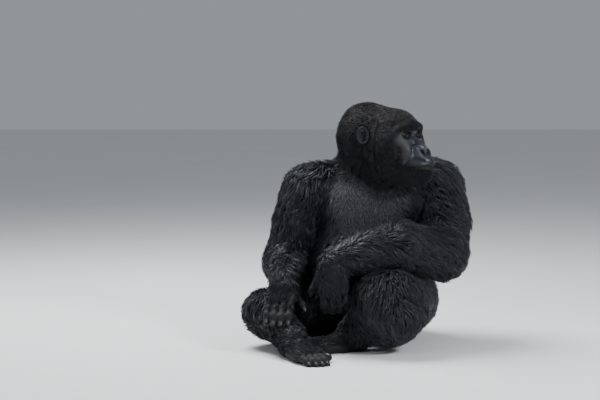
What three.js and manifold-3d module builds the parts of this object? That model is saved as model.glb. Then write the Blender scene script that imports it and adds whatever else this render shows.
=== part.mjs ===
// A life-size silverback mountain gorilla, sitting with the head turned to its left, as a still model.
// Millimetres, +Z up. The animal faces -Y, its left side is +X, and the seat and feet rest on Z = 0.
// The finished model stands with its origin on the floor, under the middle of its outline.
// The flesh and coat are one field of rounded forms (a signed distance) that flows from part to part. Each
// part wraps a capsule grid round its own axis onto that field, and thin cuts divide one part from the next.
import * as THREE from 'three';
import { mergeVertices } from 'three/addons/utils/BufferGeometryUtils.js';
import Module from 'manifold-3d';

const wasm = await Module();
wasm.setup();

// ---- driving dimensions ----
const GAP = 0.5; // clearance between neighbouring parts
const FLOOR = 0; // level of the seat and of the soles
const HEAD_TURN = THREE.MathUtils.degToRad(55); // head turned to the animal's left
const HEAD_CENTRE = [34, -118, 790]; // midway between the ears
const EYE = { radius: 13, side: 40, forward: 139, up: 1 };
const EAR = { height: 66, width: 44, thickness: 22, side: 104, forward: 4, up: 0, flare: 0.5 };
const NOSTRIL = { radii: [9, 13, 8], side: 18, forward: 216, up: -63 };
const MOUTH = { forward: 250, up: -116 }; // where the lips meet in front
const FINGER = { radius: 16, bones: [50, 38, 28] }; // three bones from knuckle to tip
const TOE = { radius: 14, bones: [34, 24, 20] };
const NAIL = { length: 16, width: 15, thickness: 6 };

// joints of the skeleton under the coat
const JOINT = {
  waist: [5, 0, 300], breast: [16, 5, 450], nape: [18, 30, 600],
  shoulderRight: [-212, 10, 562], elbowRight: [-298, 5, 292], wristRight: [-310, -282, 254],
  shoulderLeft: [268, 38, 578], elbowLeft: [280, -140, 338], wristLeft: [-134, -366, 342],
  hipRight: [-128, 10, 132], kneeRight: [-372, -236, 128], ankleRight: [-282, -462, 68],
  hipLeft: [142, 0, 150], kneeLeft: [76, -346, 170], ankleLeft: [-66, -322, 66],
};

// points between the joints, where the outline of the coat bows or swells
const BOW = {
  armRight: [-250, 16, 440], armLeft: [288, -30, 450],
  forearmRight: [-305, -140, 276], forearmLeft: [110, -246, 386], cuffLeft: [-30, -314, 356],
  kneeLeft: [66, -372, 168],
};
const NECK = { base: [12, 24, 600], top: [6, -44, 742], radii: [140, 112] };
const ELBOW_TIP_RIGHT = [-304, -20, 292];

// ---- small helpers ----
const vec = (at) => new THREE.Vector3(...at);
const SIDES = { left: (at) => at, right: (at) => [-at[0], at[1], at[2]] };
const pair = (make) => Object.values(SIDES).map(make);

// ---- rounded forms, each a function from a point to its distance ----
const egg = (centre, radii, turn = 0) => {
  const middle = vec(centre);
  const cos = Math.cos(turn);
  const sin = Math.sin(turn);
  return (point) => {
    const dx = point.x - middle.x;
    const dy = point.y - middle.y;
    const x = cos * dx + sin * dy;
    const y = cos * dy - sin * dx;
    const z = point.z - middle.z;
    const whole = Math.hypot(x / radii[0], y / radii[1], z / radii[2]);
    const slope = Math.hypot(x / radii[0] ** 2, y / radii[1] ** 2, z / radii[2] ** 2);
    return slope === 0 ? -Math.min(...radii) : (whole * (whole - 1)) / slope;
  };
};

const limb = (from, to, radiusFrom, radiusTo) => {
  const start = vec(from);
  const run = vec(to).sub(start);
  const offset = new THREE.Vector3();
  return (point) => {
    offset.subVectors(point, start);
    const along = THREE.MathUtils.clamp(offset.dot(run) / run.lengthSq(), 0, 1);
    return offset.addScaledVector(run, -along).length() - THREE.MathUtils.lerp(radiusFrom, radiusTo, along);
  };
};

// Forms flow into each other over the given softness; a form that is far away changes nothing.
const blend = (softness, ...forms) => (point) => forms.reduce((nearest, form) => {
  const distance = form(point);
  const mix = Math.max(softness - Math.abs(nearest - distance), 0) / softness;
  return Math.min(nearest, distance) - (mix * mix * softness) / 4;
}, Infinity);

// Takes a tool out of a form, with a rounded rim.
const carve = (softness, form, ...tools) => (point) => tools.reduce((nearest, tool) => {
  const distance = -tool(point);
  const mix = Math.max(softness - Math.abs(nearest - distance), 0) / softness;
  return Math.max(nearest, distance) + (mix * mix * softness) / 4;
}, form(point));

const placed = (frame, field) => {
  const inverse = frame.clone().invert();
  const local = new THREE.Vector3();
  return (point) => field(local.copy(point).applyMatrix4(inverse));
};

// ---- solids ----
// Distance from an inner point to the surface, found by stepping outwards and then halving.
function reach(field, origin, direction, longest) {
  const STEP = 8;
  const probe = new THREE.Vector3();
  const at = (distance) => field(probe.copy(origin).addScaledVector(direction, distance));
  let far = STEP;
  while (at(far) < 0 && far < longest) far += STEP;
  let near = far - STEP;
  for (let halving = 0; halving < 24; halving += 1) {
    const middle = (near + far) / 2;
    if (at(middle) < 0) near = middle;
    else far = middle;
  }
  return near;
}

function solidFrom(geometry) {
  const bare = geometry.clone();
  bare.deleteAttribute('normal');
  bare.deleteAttribute('uv');
  const merged = mergeVertices(bare, 1e-3);
  const index = merged.index.array;
  const corners = [];
  for (let i = 0; i < index.length; i += 3) {
    const [a, b, c] = [index[i], index[i + 1], index[i + 2]];
    if (a !== b && b !== c && c !== a) corners.push(a, b, c);
  }
  const vertProperties = new Float32Array(merged.attributes.position.array);
  const triVerts = new Uint32Array(corners);
  return new wasm.Manifold(new wasm.Mesh({ numProp: 3, vertProperties, triVerts }));
}

// A capsule grid whose every vertex runs out from the axis until it meets the field's surface.
function wrap(field, axis, { around, along, cap, longest, grown = 0, hinge = null }) {
  const grid = new THREE.CapsuleGeometry(1, 2, cap, around, along);
  grid.deleteAttribute('normal');
  grid.deleteAttribute('uv');
  const shape = mergeVertices(grid, 1e-4);
  const curve = new THREE.CatmullRomCurve3(axis.map(vec));
  const outer = (point) => field(point) - grown;
  const positions = shape.attributes.position;
  const span = vec(axis.at(-1)).sub(vec(axis[0])).normalize();
  const level = Math.abs(span.z) > 0.8 ? new THREE.Vector3(0, 1, 0) : new THREE.Vector3(0, 0, 1);
  const reference = hinge ?? level;
  for (let i = 0; i < positions.count; i += 1) {
    const spot = new THREE.Vector3().fromBufferAttribute(positions, i);
    const height = THREE.MathUtils.clamp(spot.y, -1, 1);
    const share = (height + 1) / 2;
    const tangent = curve.getTangentAt(share);
    const side = new THREE.Vector3().crossVectors(tangent, reference).normalize();
    const front = new THREE.Vector3().crossVectors(side, tangent);
    const direction = side.multiplyScalar(spot.x).addScaledVector(tangent, spot.y - height);
    direction.addScaledVector(front, spot.z).normalize();
    const origin = curve.getPointAt(share);
    origin.addScaledVector(direction, reach(outer, origin, direction, longest));
    positions.setXYZ(i, origin.x, origin.y, origin.z);
  }
  return solidFrom(shape);
}

// A cut leaves half a gap on each side of its plane; `beyond` is the far side together with the whole gap.
const cut = (through, normal) => {
  const facing = vec(normal).normalize();
  const level = facing.dot(vec(through));
  return {
    above: (solid) => solid.trimByPlane(facing.toArray(), level + GAP / 2),
    beyond: (solid) => solid.trimByPlane(facing.toArray(), level - GAP / 2),
    below: (solid) => solid.trimByPlane(facing.clone().negate().toArray(), GAP / 2 - level),
  };
};

const largest = (solid) => solid.decompose().sort((a, b) => b.volume() - a.volume())[0];
const onFloor = (solid) => solid.trimByPlane([0, 0, 1], FLOOR);

// ---- fields of the body ----
const J = JOINT;
const headFrame = new THREE.Matrix4().makeRotationZ(HEAD_TURN).setPosition(...HEAD_CENTRE);

// In the head's own frame: X to its left, -Y forward, Z up, the origin midway between the ears.
const skull = blend(
  30,
  egg([0, 34, 18], [98, 118, 92]),
  egg([0, 48, 56], [62, 92, 62]),
  egg([0, 62, -14], [96, 104, 92]),
  egg([0, -22, 40], [62, 66, 58]),
  egg([0, -74, 36], [80, 72, 63]),
  egg([0, -112, 36], [62, 50, 46]),
  ...pair((side) => egg(side([66, -56, -50]), [44, 78, 84])),
  egg([0, -112, -40], [74, 47, 62]),
  ...pair((side) => egg(side([44, -126, -30]), [34, 30, 36])),
  egg([0, -184, -106], [61, 62, 38]),
  egg([0, -172, -150], [60, 70, 36]),
  ...pair((side) => limb(side([56, -50, -116]), side([28, -150, -152]), 50, 42)),
  ...pair((side) => limb(side([54, -126, -8]), side([45, -154, -56]), 32, 31)),
  ...pair((side) => egg(side([74, -94, -26]), [32, 48, 42])),
);
const brow = blend(
  14,
  ...pair((side) => limb([0, -148, 33], side([63, -143, 27]), 24, 20)),
);
const nose = blend(
  12,
  limb([0, -132, 8], [0, -192, -48], 9, 20),
  ...pair((side) => egg(side([20, -198, -64]), [21, 21, 20])),
  egg([0, -204, -80], [22, 19, 13]),
);
const ORBIT = { centre: [41, -160, 0], radii: [25, 22, 14.5] };
const orbits = pair((side) => egg(side(ORBIT.centre), ORBIT.radii));
const face = carve(10, blend(16, skull, brow, nose), ...orbits);
const throat = egg([0, -30, -130], [76, 84, 76]);
const headField = blend(26, face, throat);
const headForms = placed(headFrame, headField);

const neckForms = limb(NECK.base, NECK.top, ...NECK.radii);
const yoke = limb([-150, 30, 585], [220, 44, 592], 98, 104);
const trunkForms = blend(
  60,
  egg([0, 66, 150], [232, 196, 178]),
  egg([4, -44, 270], [226, 206, 210]),
  egg([8, 66, 330], [206, 150, 200]),
  egg([16, 16, 450], [196, 180, 230]),
  egg([24, 92, 560], [222, 122, 146]),
  yoke,
  egg([-62, -92, 520], [104, 78, 96]),
  egg([104, -88, 524], [104, 78, 96]),
);
const armRightForms = blend(
  40,
  limb(J.shoulderRight, BOW.armRight, 122, 106),
  limb(BOW.armRight, J.elbowRight, 106, 104),
);
const forearmRightForms = limb(ELBOW_TIP_RIGHT, J.wristRight, 92, 55);
const armLeftForms = blend(
  40,
  limb(J.shoulderLeft, BOW.armLeft, 118, 110),
  limb(BOW.armLeft, J.elbowLeft, 110, 104),
);
const forearmLeftForms = blend(
  40,
  limb(J.elbowLeft, BOW.forearmLeft, 102, 96),
  limb(BOW.forearmLeft, BOW.cuffLeft, 94, 76),
  limb(BOW.cuffLeft, J.wristLeft, 76, 62),
);
const thighRightForms = limb(J.hipRight, J.kneeRight, 134, 100);
const shinRightForms = limb(J.kneeRight, J.ankleRight, 92, 56);
const thighLeftForms = blend(
  40,
  limb(J.hipLeft, J.kneeLeft, 146, 132),
  egg(BOW.kneeLeft, [148, 130, 148]),
);
const shinLeftForms = limb(J.kneeLeft, J.ankleLeft, 104, 56);

const torso = blend(50, trunkForms, neckForms, armRightForms, armLeftForms);
const neckField = blend(40, trunkForms, neckForms, headForms);
const armRightField = blend(50, yoke, armRightForms, forearmRightForms);
const armLeftField = blend(50, yoke, armLeftForms, forearmLeftForms);
const forearmRightField = blend(40, armRightForms, forearmRightForms);
const forearmLeftField = blend(40, armLeftForms, forearmLeftForms);
const legRightField = blend(40, thighRightForms, shinRightForms);
const legLeftField = blend(40, thighLeftForms, shinLeftForms);

// ---- cuts between the parts ----
// Each is the plane through a joint, midway between the two bones that meet there,
// facing away from the trunk.
const HEAD_CUT = { through: [20, -44, 692], normal: [0.25, -0.45, 0.85] };
const CUT = {
  neckHead: cut(HEAD_CUT.through, HEAD_CUT.normal),
  chestNeck: cut([14, 14, 655], [0, -0.3, 0.95]),
  bellyChest: cut([5, 0, 365], [0, -0.1, 1]),
  shoulderRight: cut([-146, 10, 590], [-0.97, 0, 0.24]),
  shoulderLeft: cut([202, 30, 600], [0.97, 0, 0.24]),
  elbowRight: cut([-300, -36, 300], [-0.19, -0.71, -0.68]),
  elbowLeft: cut([236, -172, 352], [-0.56, -0.74, -0.38]),
  wristRight: cut([-310, -290, 252], [-0.05, -1, -0.3]),
  wristLeft: cut([-140, -378, 318], [0.1, -0.2, -1]),
  kneeRight: cut([-368, -262, 124], [-0.21, -0.96, -0.14]),
  kneeLeft: cut([0, -350, 130], [-0.8, -0.3, -0.5]),
  ankleRight: cut([-282, -466, 72], [0.2, -0.4, -0.9]),
  ankleLeft: cut([-70, -324, 70], [-0.4, -0.1, -0.9]),
};

// ---- hands and feet ----
// A paw's frame: `along` runs to the fingertips, `back` out of the hairy side, `side` towards the thumb.
const pawFrame = (root, along, back, thumbSide) => {
  const forward = vec(along).normalize();
  const side = new THREE.Vector3().crossVectors(forward, vec(back)).normalize().multiplyScalar(thumbSide);
  const top = new THREE.Vector3().crossVectors(side, forward).multiplyScalar(thumbSide);
  return { root: vec(root), forward, side, top, hand: thumbSide };
};
const inPaw = (paw, along, across, above) => paw.root.clone()
  .addScaledVector(paw.forward, along)
  .addScaledVector(paw.side, across)
  .addScaledVector(paw.top, above)
  .toArray();

// The joints of one digit: each bone turns further towards the palm than the one before it.
function digitJoints(paw, base, bones, bends, spread = 0) {
  const joints = [inPaw(paw, ...base)];
  let angle = 0;
  bones.forEach((length, bone) => {
    angle += THREE.MathUtils.degToRad(bends[bone]);
    const step = new THREE.Vector3()
      .addScaledVector(paw.forward, Math.cos(angle) * Math.cos(spread))
      .addScaledVector(paw.side, Math.sin(spread))
      .addScaledVector(paw.top, -Math.sin(angle) * Math.cos(spread));
    joints.push(vec(joints.at(-1)).addScaledVector(step, length).toArray());
  });
  return joints;
}

const DIGIT_GRID = { around: 6, along: 3, cap: 1, longest: 40 };
function digit(paw, { joints, radius }, grown) {
  const last = joints.length - 1;
  const taper = (joint) => radius * (1 - (0.22 * joint) / last);
  const bones = joints.slice(1).map((joint, i) => limb(joints[i], joint, taper(i), taper(i + 1)));
  return wrap(blend(5, ...bones), joints, { ...DIGIT_GRID, grown, hinge: paw.side });
}

// A nail: a flat egg let into the back of the last bone.
function nail(paw, { joints, radius }, grown = 0) {
  const tip = vec(joints.at(-1));
  const bone = tip.clone().sub(vec(joints.at(-2))).normalize();
  const across = paw.side.clone().addScaledVector(bone, -paw.side.dot(bone)).normalize();
  const up = new THREE.Vector3().crossVectors(across, bone).multiplyScalar(paw.hand);
  const shape = new THREE.SphereGeometry(0.5, 5, 3);
  shape.scale(NAIL.width + 2 * grown, NAIL.length + 2 * grown, NAIL.thickness + 2 * grown);
  const facing = new THREE.Matrix4().makeBasis(across, bone, new THREE.Vector3().crossVectors(across, bone));
  const centre = tip.addScaledVector(up, radius * 0.7).addScaledVector(bone, -NAIL.length * 0.1);
  shape.applyMatrix4(facing.setPosition(centre));
  return solidFrom(shape);
}

// The palm or sole with its digits joined on, the nails cut out of them, and the same form one gap larger.
function paw(frame, { field, axis, digits, trim }) {
  const whole = (grown) => digits.reduce(
    (body, each) => body.add(digit(frame, each, grown)),
    wrap(field, axis, { around: 10, along: 4, cap: 2, longest: 90, grown }),
  );
  const flesh = whole(GAP);
  const room = digits.reduce((space, each) => space.add(nail(frame, each, GAP)), flesh);
  return { body: trim(whole(0)), room, nails: digits.map((each) => nail(frame, each).subtract(flesh)) };
}

const FINGER_ROWS = [-1.5, -0.5, 0.5, 1.5];
function hand(frame, { bends, thumbBends, thumbSpread }, wristCut, armField) {
  const PALM = { length: 88, width: 27, knuckles: [80, 90, 92, 86] };
  const digits = FINGER_ROWS.map((row, i) => ({
    joints: digitJoints(frame, [PALM.knuckles[i], row * PALM.width, 2], FINGER.bones, bends),
    radius: FINGER.radius - (i === 0 ? 2 : 0),
  }));
  digits.push({
    joints: digitJoints(frame, [26, 46, -12], [34, 30, 20], thumbBends, thumbSpread),
    radius: FINGER.radius - 1,
  });
  const palm = blend(
    18,
    limb(inPaw(frame, -6, 0, 0), inPaw(frame, 30, 0, 0), 50, 40),
    ...FINGER_ROWS.map((row, i) => limb(
      inPaw(frame, 18, row * 18, -2),
      inPaw(frame, PALM.knuckles[i], row * PALM.width, 0),
      28,
      21,
    )),
    limb(inPaw(frame, 10, 22, -8), inPaw(frame, 40, 48, -12), 26, 20),
  );
  const axis = [inPaw(frame, -10, 0, 0), inPaw(frame, 36, 2, -2), inPaw(frame, PALM.length - 8, 0, 0)];
  return paw(frame, { field: blend(24, palm, armField), axis, digits, trim: wristCut.above });
}

const TOE_ROWS = [-1.5, -0.5, 0.5, 1.5];
function foot(frame, ankleCut, shinField) {
  const BALL = { ahead: 122, width: 22, above: -42, fronts: [108, 120, 126, 124] };
  const digits = TOE_ROWS.map((row, i) => ({
    joints: digitJoints(frame, [BALL.fronts[i], row * BALL.width - 4, BALL.above], TOE.bones, [4, 12, 18]),
    radius: TOE.radius,
  }));
  digits.push({
    joints: digitJoints(frame, [56, 40, BALL.above], [46, 36], [2, 14], 0.42),
    radius: TOE.radius + 4,
  });
  const sole = blend(
    24,
    egg(inPaw(frame, -26, 0, -28), [44, 44, 40]),
    limb(inPaw(frame, -20, 0, -32), inPaw(frame, 60, -2, -34), 38, 34),
    ...TOE_ROWS.map((row, i) => limb(
      inPaw(frame, 40, row * 16, -36),
      inPaw(frame, BALL.fronts[i], row * BALL.width - 4, BALL.above + 2),
      28,
      22,
    )),
    limb(inPaw(frame, 20, 22, -40), inPaw(frame, 60, 42, BALL.above), 26, 22),
    limb(inPaw(frame, 0, 0, 0), inPaw(frame, 26, 0, -30), 54, 36),
  );
  const axis = [inPaw(frame, -22, 0, -30), inPaw(frame, 40, 4, -36), inPaw(frame, 104, -2, -40)];
  const trim = (solid) => onFloor(ankleCut.above(solid));
  return paw(frame, { field: blend(20, sole, shinField), axis, digits, trim });
}

// ---- the parts ----
// Each part is wrapped on its field, cut from the next part of the same limb, and then gives way to what
// presses on it: a hand to the leg under it, a thigh to the forearm on it, and the trunk to all of them.
const GRID = {
  arm: { around: 14, along: 4, cap: 3, longest: 170 },
  leg: { around: 14, along: 4, cap: 3, longest: 190 },
  trunk: { around: 18, along: 7, cap: 4, longest: 240 },
  neck: { around: 18, along: 4, cap: 2, longest: 240 },
  head: { around: 22, along: 11, cap: 5, longest: 170 },
};
const AXIS = {
  upperArmRight: [J.shoulderRight, BOW.armRight, J.elbowRight],
  upperArmLeft: [J.shoulderLeft, BOW.armLeft, J.elbowLeft],
  forearmRight: [J.elbowRight, BOW.forearmRight, J.wristRight],
  forearmLeft: [J.elbowLeft, BOW.forearmLeft, BOW.cuffLeft, J.wristLeft],
  thighRight: [J.hipRight, J.kneeRight],
  thighLeft: [J.hipLeft, BOW.kneeLeft],
  shinRight: [J.kneeRight, J.ankleRight],
  shinLeft: [J.kneeLeft, J.ankleLeft],
  trunk: [[0, 60, 150], J.waist, J.breast, J.nape],
  neck: [NECK.base, NECK.top],
  head: [[0, 56, 8], [0, -60, -20], [0, -160, -104]],
};
const clear = (solid, ...rooms) => rooms.reduce((rest, room) => rest.subtract(room), solid);

// A part and the room that it takes: the same form one gap larger, for its neighbours to keep clear of.
const member = (field, axis, grid, trim) => ({
  body: trim(wrap(field, axis, grid)),
  room: wrap(field, axis, { ...grid, grown: GAP }),
});

const handLeft = hand(
  pawFrame([-140, -384, 322], [0.1, -0.1, -1], [-0.05, -1, 0.1], 1),
  { bends: [8, 50, 70], thumbBends: [10, 20, 20], thumbSpread: 0.5 },
  CUT.wristLeft,
  forearmLeftForms,
);
const handRight = hand(
  pawFrame([-314, -294, 246], [-0.12, -0.82, -0.52], [-0.05, -0.5, 0.85], -1),
  { bends: [0, 12, 20], thumbBends: [10, 20, 20], thumbSpread: 0.5 },
  CUT.wristRight,
  forearmRightForms,
);
const footLeft = foot(
  pawFrame(J.ankleLeft, [-0.95, -0.3, 0], [0, 0, 1], 1),
  CUT.ankleLeft,
  shinLeftForms,
);
const footRight = foot(
  pawFrame(J.ankleRight, [0.5, -0.86, 0], [0, 0, 1], -1),
  CUT.ankleRight,
  shinRightForms,
);

const forearmLeft = member(
  forearmLeftField, AXIS.forearmLeft, { ...GRID.arm, along: 8 },
  (solid) => CUT.wristLeft.below(CUT.elbowLeft.above(solid)),
);
const forearmRight = member(
  forearmRightField, AXIS.forearmRight, GRID.arm,
  (solid) => CUT.wristRight.below(CUT.elbowRight.above(solid)),
);
const upperArmRight = member(
  armRightField, AXIS.upperArmRight, GRID.arm,
  (solid) => CUT.elbowRight.below(CUT.shoulderRight.above(solid)),
);
const upperArmLeft = member(
  armLeftField, AXIS.upperArmLeft, GRID.arm,
  (solid) => CUT.elbowLeft.below(CUT.shoulderLeft.above(solid)),
);
const shinLeft = member(
  legLeftField, AXIS.shinLeft, GRID.leg,
  (solid) => onFloor(CUT.ankleLeft.below(CUT.kneeLeft.above(solid))),
);
const shinRight = member(
  legRightField, AXIS.shinRight, GRID.leg,
  (solid) => onFloor(CUT.ankleRight.below(CUT.kneeRight.above(solid))),
);
const thighLeft = member(
  thighLeftForms, AXIS.thighLeft, GRID.leg,
  (solid) => onFloor(CUT.kneeLeft.below(solid)),
);
const thighRight = member(
  thighRightForms, AXIS.thighRight, GRID.leg,
  (solid) => onFloor(CUT.kneeRight.below(solid)),
);
const trunk = wrap(torso, AXIS.trunk, GRID.trunk);
const neck = wrap(neckField, AXIS.neck, GRID.neck);

// ---- head, in its own frame ----
const intoHead = headFrame.clone().invert();
const headCut = cut(
  vec(HEAD_CUT.through).applyMatrix4(intoHead).toArray(),
  vec(HEAD_CUT.normal).transformDirection(intoHead).toArray(),
);
const mouthCut = cut([0, -MOUTH.forward, MOUTH.up], [0, 0.03, 1]);
const headWhole = member(headField, AXIS.head, GRID.head, headCut.above);

const ball = (centre, radii, [across, down], turn = 0) => {
  const shape = new THREE.SphereGeometry(1, across, down);
  shape.scale(...radii);
  shape.rotateZ(turn);
  shape.translate(...centre);
  return solidFrom(shape);
};
const eyeball = (side, grown = 0) => {
  const radius = EYE.radius + grown;
  return ball(side([EYE.side, -EYE.forward, EYE.up]), [radius, radius, radius], [10, 6]);
};
const nostril = (side) => ball(side([NOSTRIL.side, -NOSTRIL.forward, NOSTRIL.up]), NOSTRIL.radii, [7, 4]);
const ear = (side) => {
  const turn = side([EAR.flare, 0, 0])[0];
  const centre = side([EAR.side, -EAR.forward, EAR.up]);
  const shell = ball(centre, [EAR.thickness / 2, EAR.width / 2, EAR.height / 2], [9, 6], -turn);
  const bowl = side([EAR.side + 8, -EAR.forward - 4, EAR.up - 1]);
  const bowlRadii = [EAR.thickness * 0.36, EAR.width * 0.34, EAR.height * 0.36];
  return shell.subtract(ball(bowl, bowlRadii, [7, 4], -turn));
};
const orbit = (side) => ball(side(ORBIT.centre), ORBIT.radii, [7, 4]);
const eyeRoom = (side) => eyeball(side, GAP);
const headClear = clear(headWhole.body, ...pair(orbit), ...pair(eyeRoom), ...pair(nostril));

// ---- scene ----
const COLOUR = { coat: 0x1b1b20, skin: 0x2a2b31, chest: 0x4a474f, eye: 0x1a0f08, nail: 0x15130f };
const finish = (color, roughness) => new THREE.MeshStandardMaterial({ color, roughness, metalness: 0 });
const COAT = finish(COLOUR.coat, 0.8);
const CHEST = finish(COLOUR.chest, 0.8);
const SKIN = finish(COLOUR.skin, 0.5);
const EYES = finish(COLOUR.eye, 0.1);
const NAILS = finish(COLOUR.nail, 0.4);

const gorilla = new THREE.Group();
const body = new THREE.Group();
const head = new THREE.Group();
gorilla.add(body);
body.add(head);
head.position.set(...HEAD_CENTRE);
head.rotation.z = HEAD_TURN;

// A solid becomes a mesh whose own origin is its joint.
function add(group, name, solid, material, joint = [0, 0, 0]) {
  const { vertProperties, triVerts } = largest(solid).getMesh();
  const geometry = new THREE.BufferGeometry();
  geometry.setAttribute('position', new THREE.BufferAttribute(vertProperties, 3));
  geometry.setIndex(new THREE.BufferAttribute(triVerts, 1));
  geometry.translate(-joint[0], -joint[1], -joint[2]);
  geometry.computeVertexNormals();
  const mesh = new THREE.Mesh(geometry, material);
  mesh.name = name;
  mesh.position.set(...joint);
  group.add(mesh);
}

add(head, 'head', mouthCut.above(headClear), COAT);
add(head, 'jaw', mouthCut.below(headClear), COAT);
Object.entries(SIDES).forEach(([word, side]) => {
  add(head, `eye_${word}`, eyeball(side), EYES);
  add(head, `ear_${word}`, clear(ear(side), headWhole.room), SKIN);
});

const shoulderRooms = [
  CUT.shoulderLeft.beyond(upperArmLeft.room),
  CUT.shoulderRight.beyond(upperArmRight.room),
];
const trunkClear = onFloor(clear(
  trunk, ...shoulderRooms, forearmLeft.room, forearmRight.room, thighLeft.room, thighRight.room,
));
add(body, 'neck', CUT.neckHead.below(CUT.chestNeck.above(clear(neck, ...shoulderRooms))), COAT, J.nape);
add(body, 'chest', CUT.chestNeck.below(CUT.bellyChest.above(trunkClear)), CHEST, J.breast);
add(body, 'belly', CUT.bellyChest.below(trunkClear), COAT, J.waist);
add(body, 'upper_arm_left', upperArmLeft.body, COAT, J.shoulderLeft);
add(body, 'upper_arm_right', upperArmRight.body, COAT, J.shoulderRight);
add(body, 'forearm_left', forearmLeft.body, COAT, J.elbowLeft);
add(body, 'forearm_right', forearmRight.body, COAT, J.elbowRight);
add(body, 'thigh_left', thighLeft.body, COAT, J.hipLeft);
add(body, 'thigh_right', clear(
  thighRight.body, forearmRight.room, upperArmRight.room, thighLeft.room,
), COAT, J.hipRight);
add(body, 'shin_left', shinLeft.body, COAT, J.kneeLeft);
add(body, 'shin_right', shinRight.body, COAT, J.kneeRight);
const LEG_ROOMS = { left: [shinLeft.room, thighLeft.room], right: [shinRight.room, thighRight.room] };
const PAWS = [
  { name: 'hand_left', made: handLeft, rests: LEG_ROOMS.left },
  { name: 'hand_right', made: handRight, rests: LEG_ROOMS.right },
  { name: 'foot_left', made: footLeft, rests: [] },
  { name: 'foot_right', made: footRight, rests: [] },
];
const DIGITS = ['little', 'fourth', 'middle', 'second', 'first'];
PAWS.forEach(({ name, made, rests }) => {
  add(body, name, clear(made.body, ...rests), SKIN);
  made.nails.forEach((each, i) => add(body, `nail_${name}_${DIGITS[i]}`, clear(each, ...rests), NAILS));
});

// The origin goes to the floor under the middle of the outline.
const outline = new THREE.Box3().setFromObject(body);
const middle = outline.getCenter(new THREE.Vector3());
body.position.set(-middle.x, -middle.y, -outline.min.z);

export default gorilla;
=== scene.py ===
"""A life-size silverback gorilla, sitting with its head turned to its left: skin, coat in tufts, eyes and nails.

Lengths are in millimetres in the animal's own frame (it faces -Y, its left is +X, the seat is at Z = 0) and go to
metres in the row's frame when a mesh is made.
"""

import logging
import math
from collections.abc import Callable
from dataclasses import dataclass
from enum import Enum
from functools import cached_property

import bmesh
import bpy
import numpy as np
import openvdb
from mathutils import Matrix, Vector

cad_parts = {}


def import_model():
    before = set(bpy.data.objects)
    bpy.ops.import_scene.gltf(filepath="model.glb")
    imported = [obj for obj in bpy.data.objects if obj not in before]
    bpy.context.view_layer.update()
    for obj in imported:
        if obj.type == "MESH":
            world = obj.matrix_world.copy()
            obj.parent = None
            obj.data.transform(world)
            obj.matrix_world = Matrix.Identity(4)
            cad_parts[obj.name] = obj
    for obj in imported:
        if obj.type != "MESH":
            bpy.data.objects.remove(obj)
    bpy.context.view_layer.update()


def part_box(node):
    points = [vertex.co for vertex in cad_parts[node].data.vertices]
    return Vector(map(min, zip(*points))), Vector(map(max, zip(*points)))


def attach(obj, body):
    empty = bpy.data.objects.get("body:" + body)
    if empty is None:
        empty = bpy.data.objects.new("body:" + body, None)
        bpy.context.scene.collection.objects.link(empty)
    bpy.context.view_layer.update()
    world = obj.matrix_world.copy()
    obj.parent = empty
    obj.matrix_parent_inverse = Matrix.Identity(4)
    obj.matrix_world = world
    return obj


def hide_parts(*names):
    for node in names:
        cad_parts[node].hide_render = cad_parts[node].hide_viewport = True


LOG = logging.getLogger("gorilla")
Array = np.ndarray
Point = tuple[float, float, float]
Thing = bpy.types.Object
Socket = bpy.types.NodeSocket
Material = bpy.types.Material
MILLIMETRE = 0.001
SEED = 20
BLOCK = 300000
SEED_BLOCK = 8192
PATCH = 0.003


class Region(Enum):
    """The parts of the body that the coat's length, lie and colour go by."""

    TRUNK = 0
    NECK = 1
    HEAD = 2
    ARM_RIGHT = 3
    FOREARM_RIGHT = 4
    ARM_LEFT = 5
    FOREARM_LEFT = 6
    THIGH_RIGHT = 7
    SHIN_RIGHT = 8
    THIGH_LEFT = 9
    SHIN_LEFT = 10
    HAND_RIGHT = 11
    HAND_LEFT = 12
    FOOT_RIGHT = 13
    FOOT_LEFT = 14


# ---- rounded forms: each gives points their signed distance from a surface, negative inside ----
def vec(at: Point) -> Array:
    """A point as a single precision array."""
    return np.asarray(at, np.float32)


def unit(vectors: Array) -> Array:
    """Vectors brought to length one along the last axis."""
    return vectors / np.maximum(np.linalg.norm(vectors, axis=-1, keepdims=True), 1e-9)


def ramp(values: Array, low: float, high: float) -> Array:
    """A smooth step from 0 at low to 1 at high: 3t^2 - 2t^3."""
    share = np.clip((values - low) / (high - low), 0, 1)
    return share * share * (3 - 2 * share)


def egg(points: Array, centre: Point, radii: Point) -> Array:
    """Distance from an ellipsoid: k(k - 1)/s, where k is the point's distance in radii and s the slope of k.

    Args:
        points: Points, one per row.
        centre: The ellipsoid's middle.
        radii: Its three half lengths.

    Returns:
        One distance per point.
    """
    offset = points - vec(centre)
    whole = np.linalg.norm(offset / vec(radii), axis=1)
    slope = np.linalg.norm(offset / vec(radii) ** 2, axis=1)
    return np.where(slope < 1e-9, -min(radii), whole * (whole - 1) / np.maximum(slope, 1e-9))


def limb(points: Array, start: Point, end: Point, radius_start: float, radius_end: float) -> Array:
    """Distance from a straight limb whose radius changes evenly from one round end to the other.

    Args:
        points: Points, one per row.
        start: The middle of the first round end.
        end: The middle of the other.
        radius_start: The radius at the start.
        radius_end: The radius at the end.

    Returns:
        One distance per point.
    """
    origin, run = vec(start), vec(end) - vec(start)
    share = np.clip((points - origin) @ run / (run @ run), 0, 1)
    radius = radius_start + (radius_end - radius_start) * share
    return np.linalg.norm(points - origin - share[:, None] * run, axis=1) - radius


def blend(softness: float, *distances: Array) -> Array:
    """Joins forms: the smaller distance, less m^2 s / 4 where m is how nearly equal the two are within softness s.

    Args:
        softness: How far apart two surfaces may be and still flow together.
        *distances: The forms' distances.

    Returns:
        The distance of the joined form.
    """
    nearest = distances[0]
    for distance in distances[1:]:
        mix = np.maximum(softness - np.abs(nearest - distance), 0) / softness
        nearest = np.minimum(nearest, distance) - mix * mix * softness / 4
    return nearest


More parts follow.
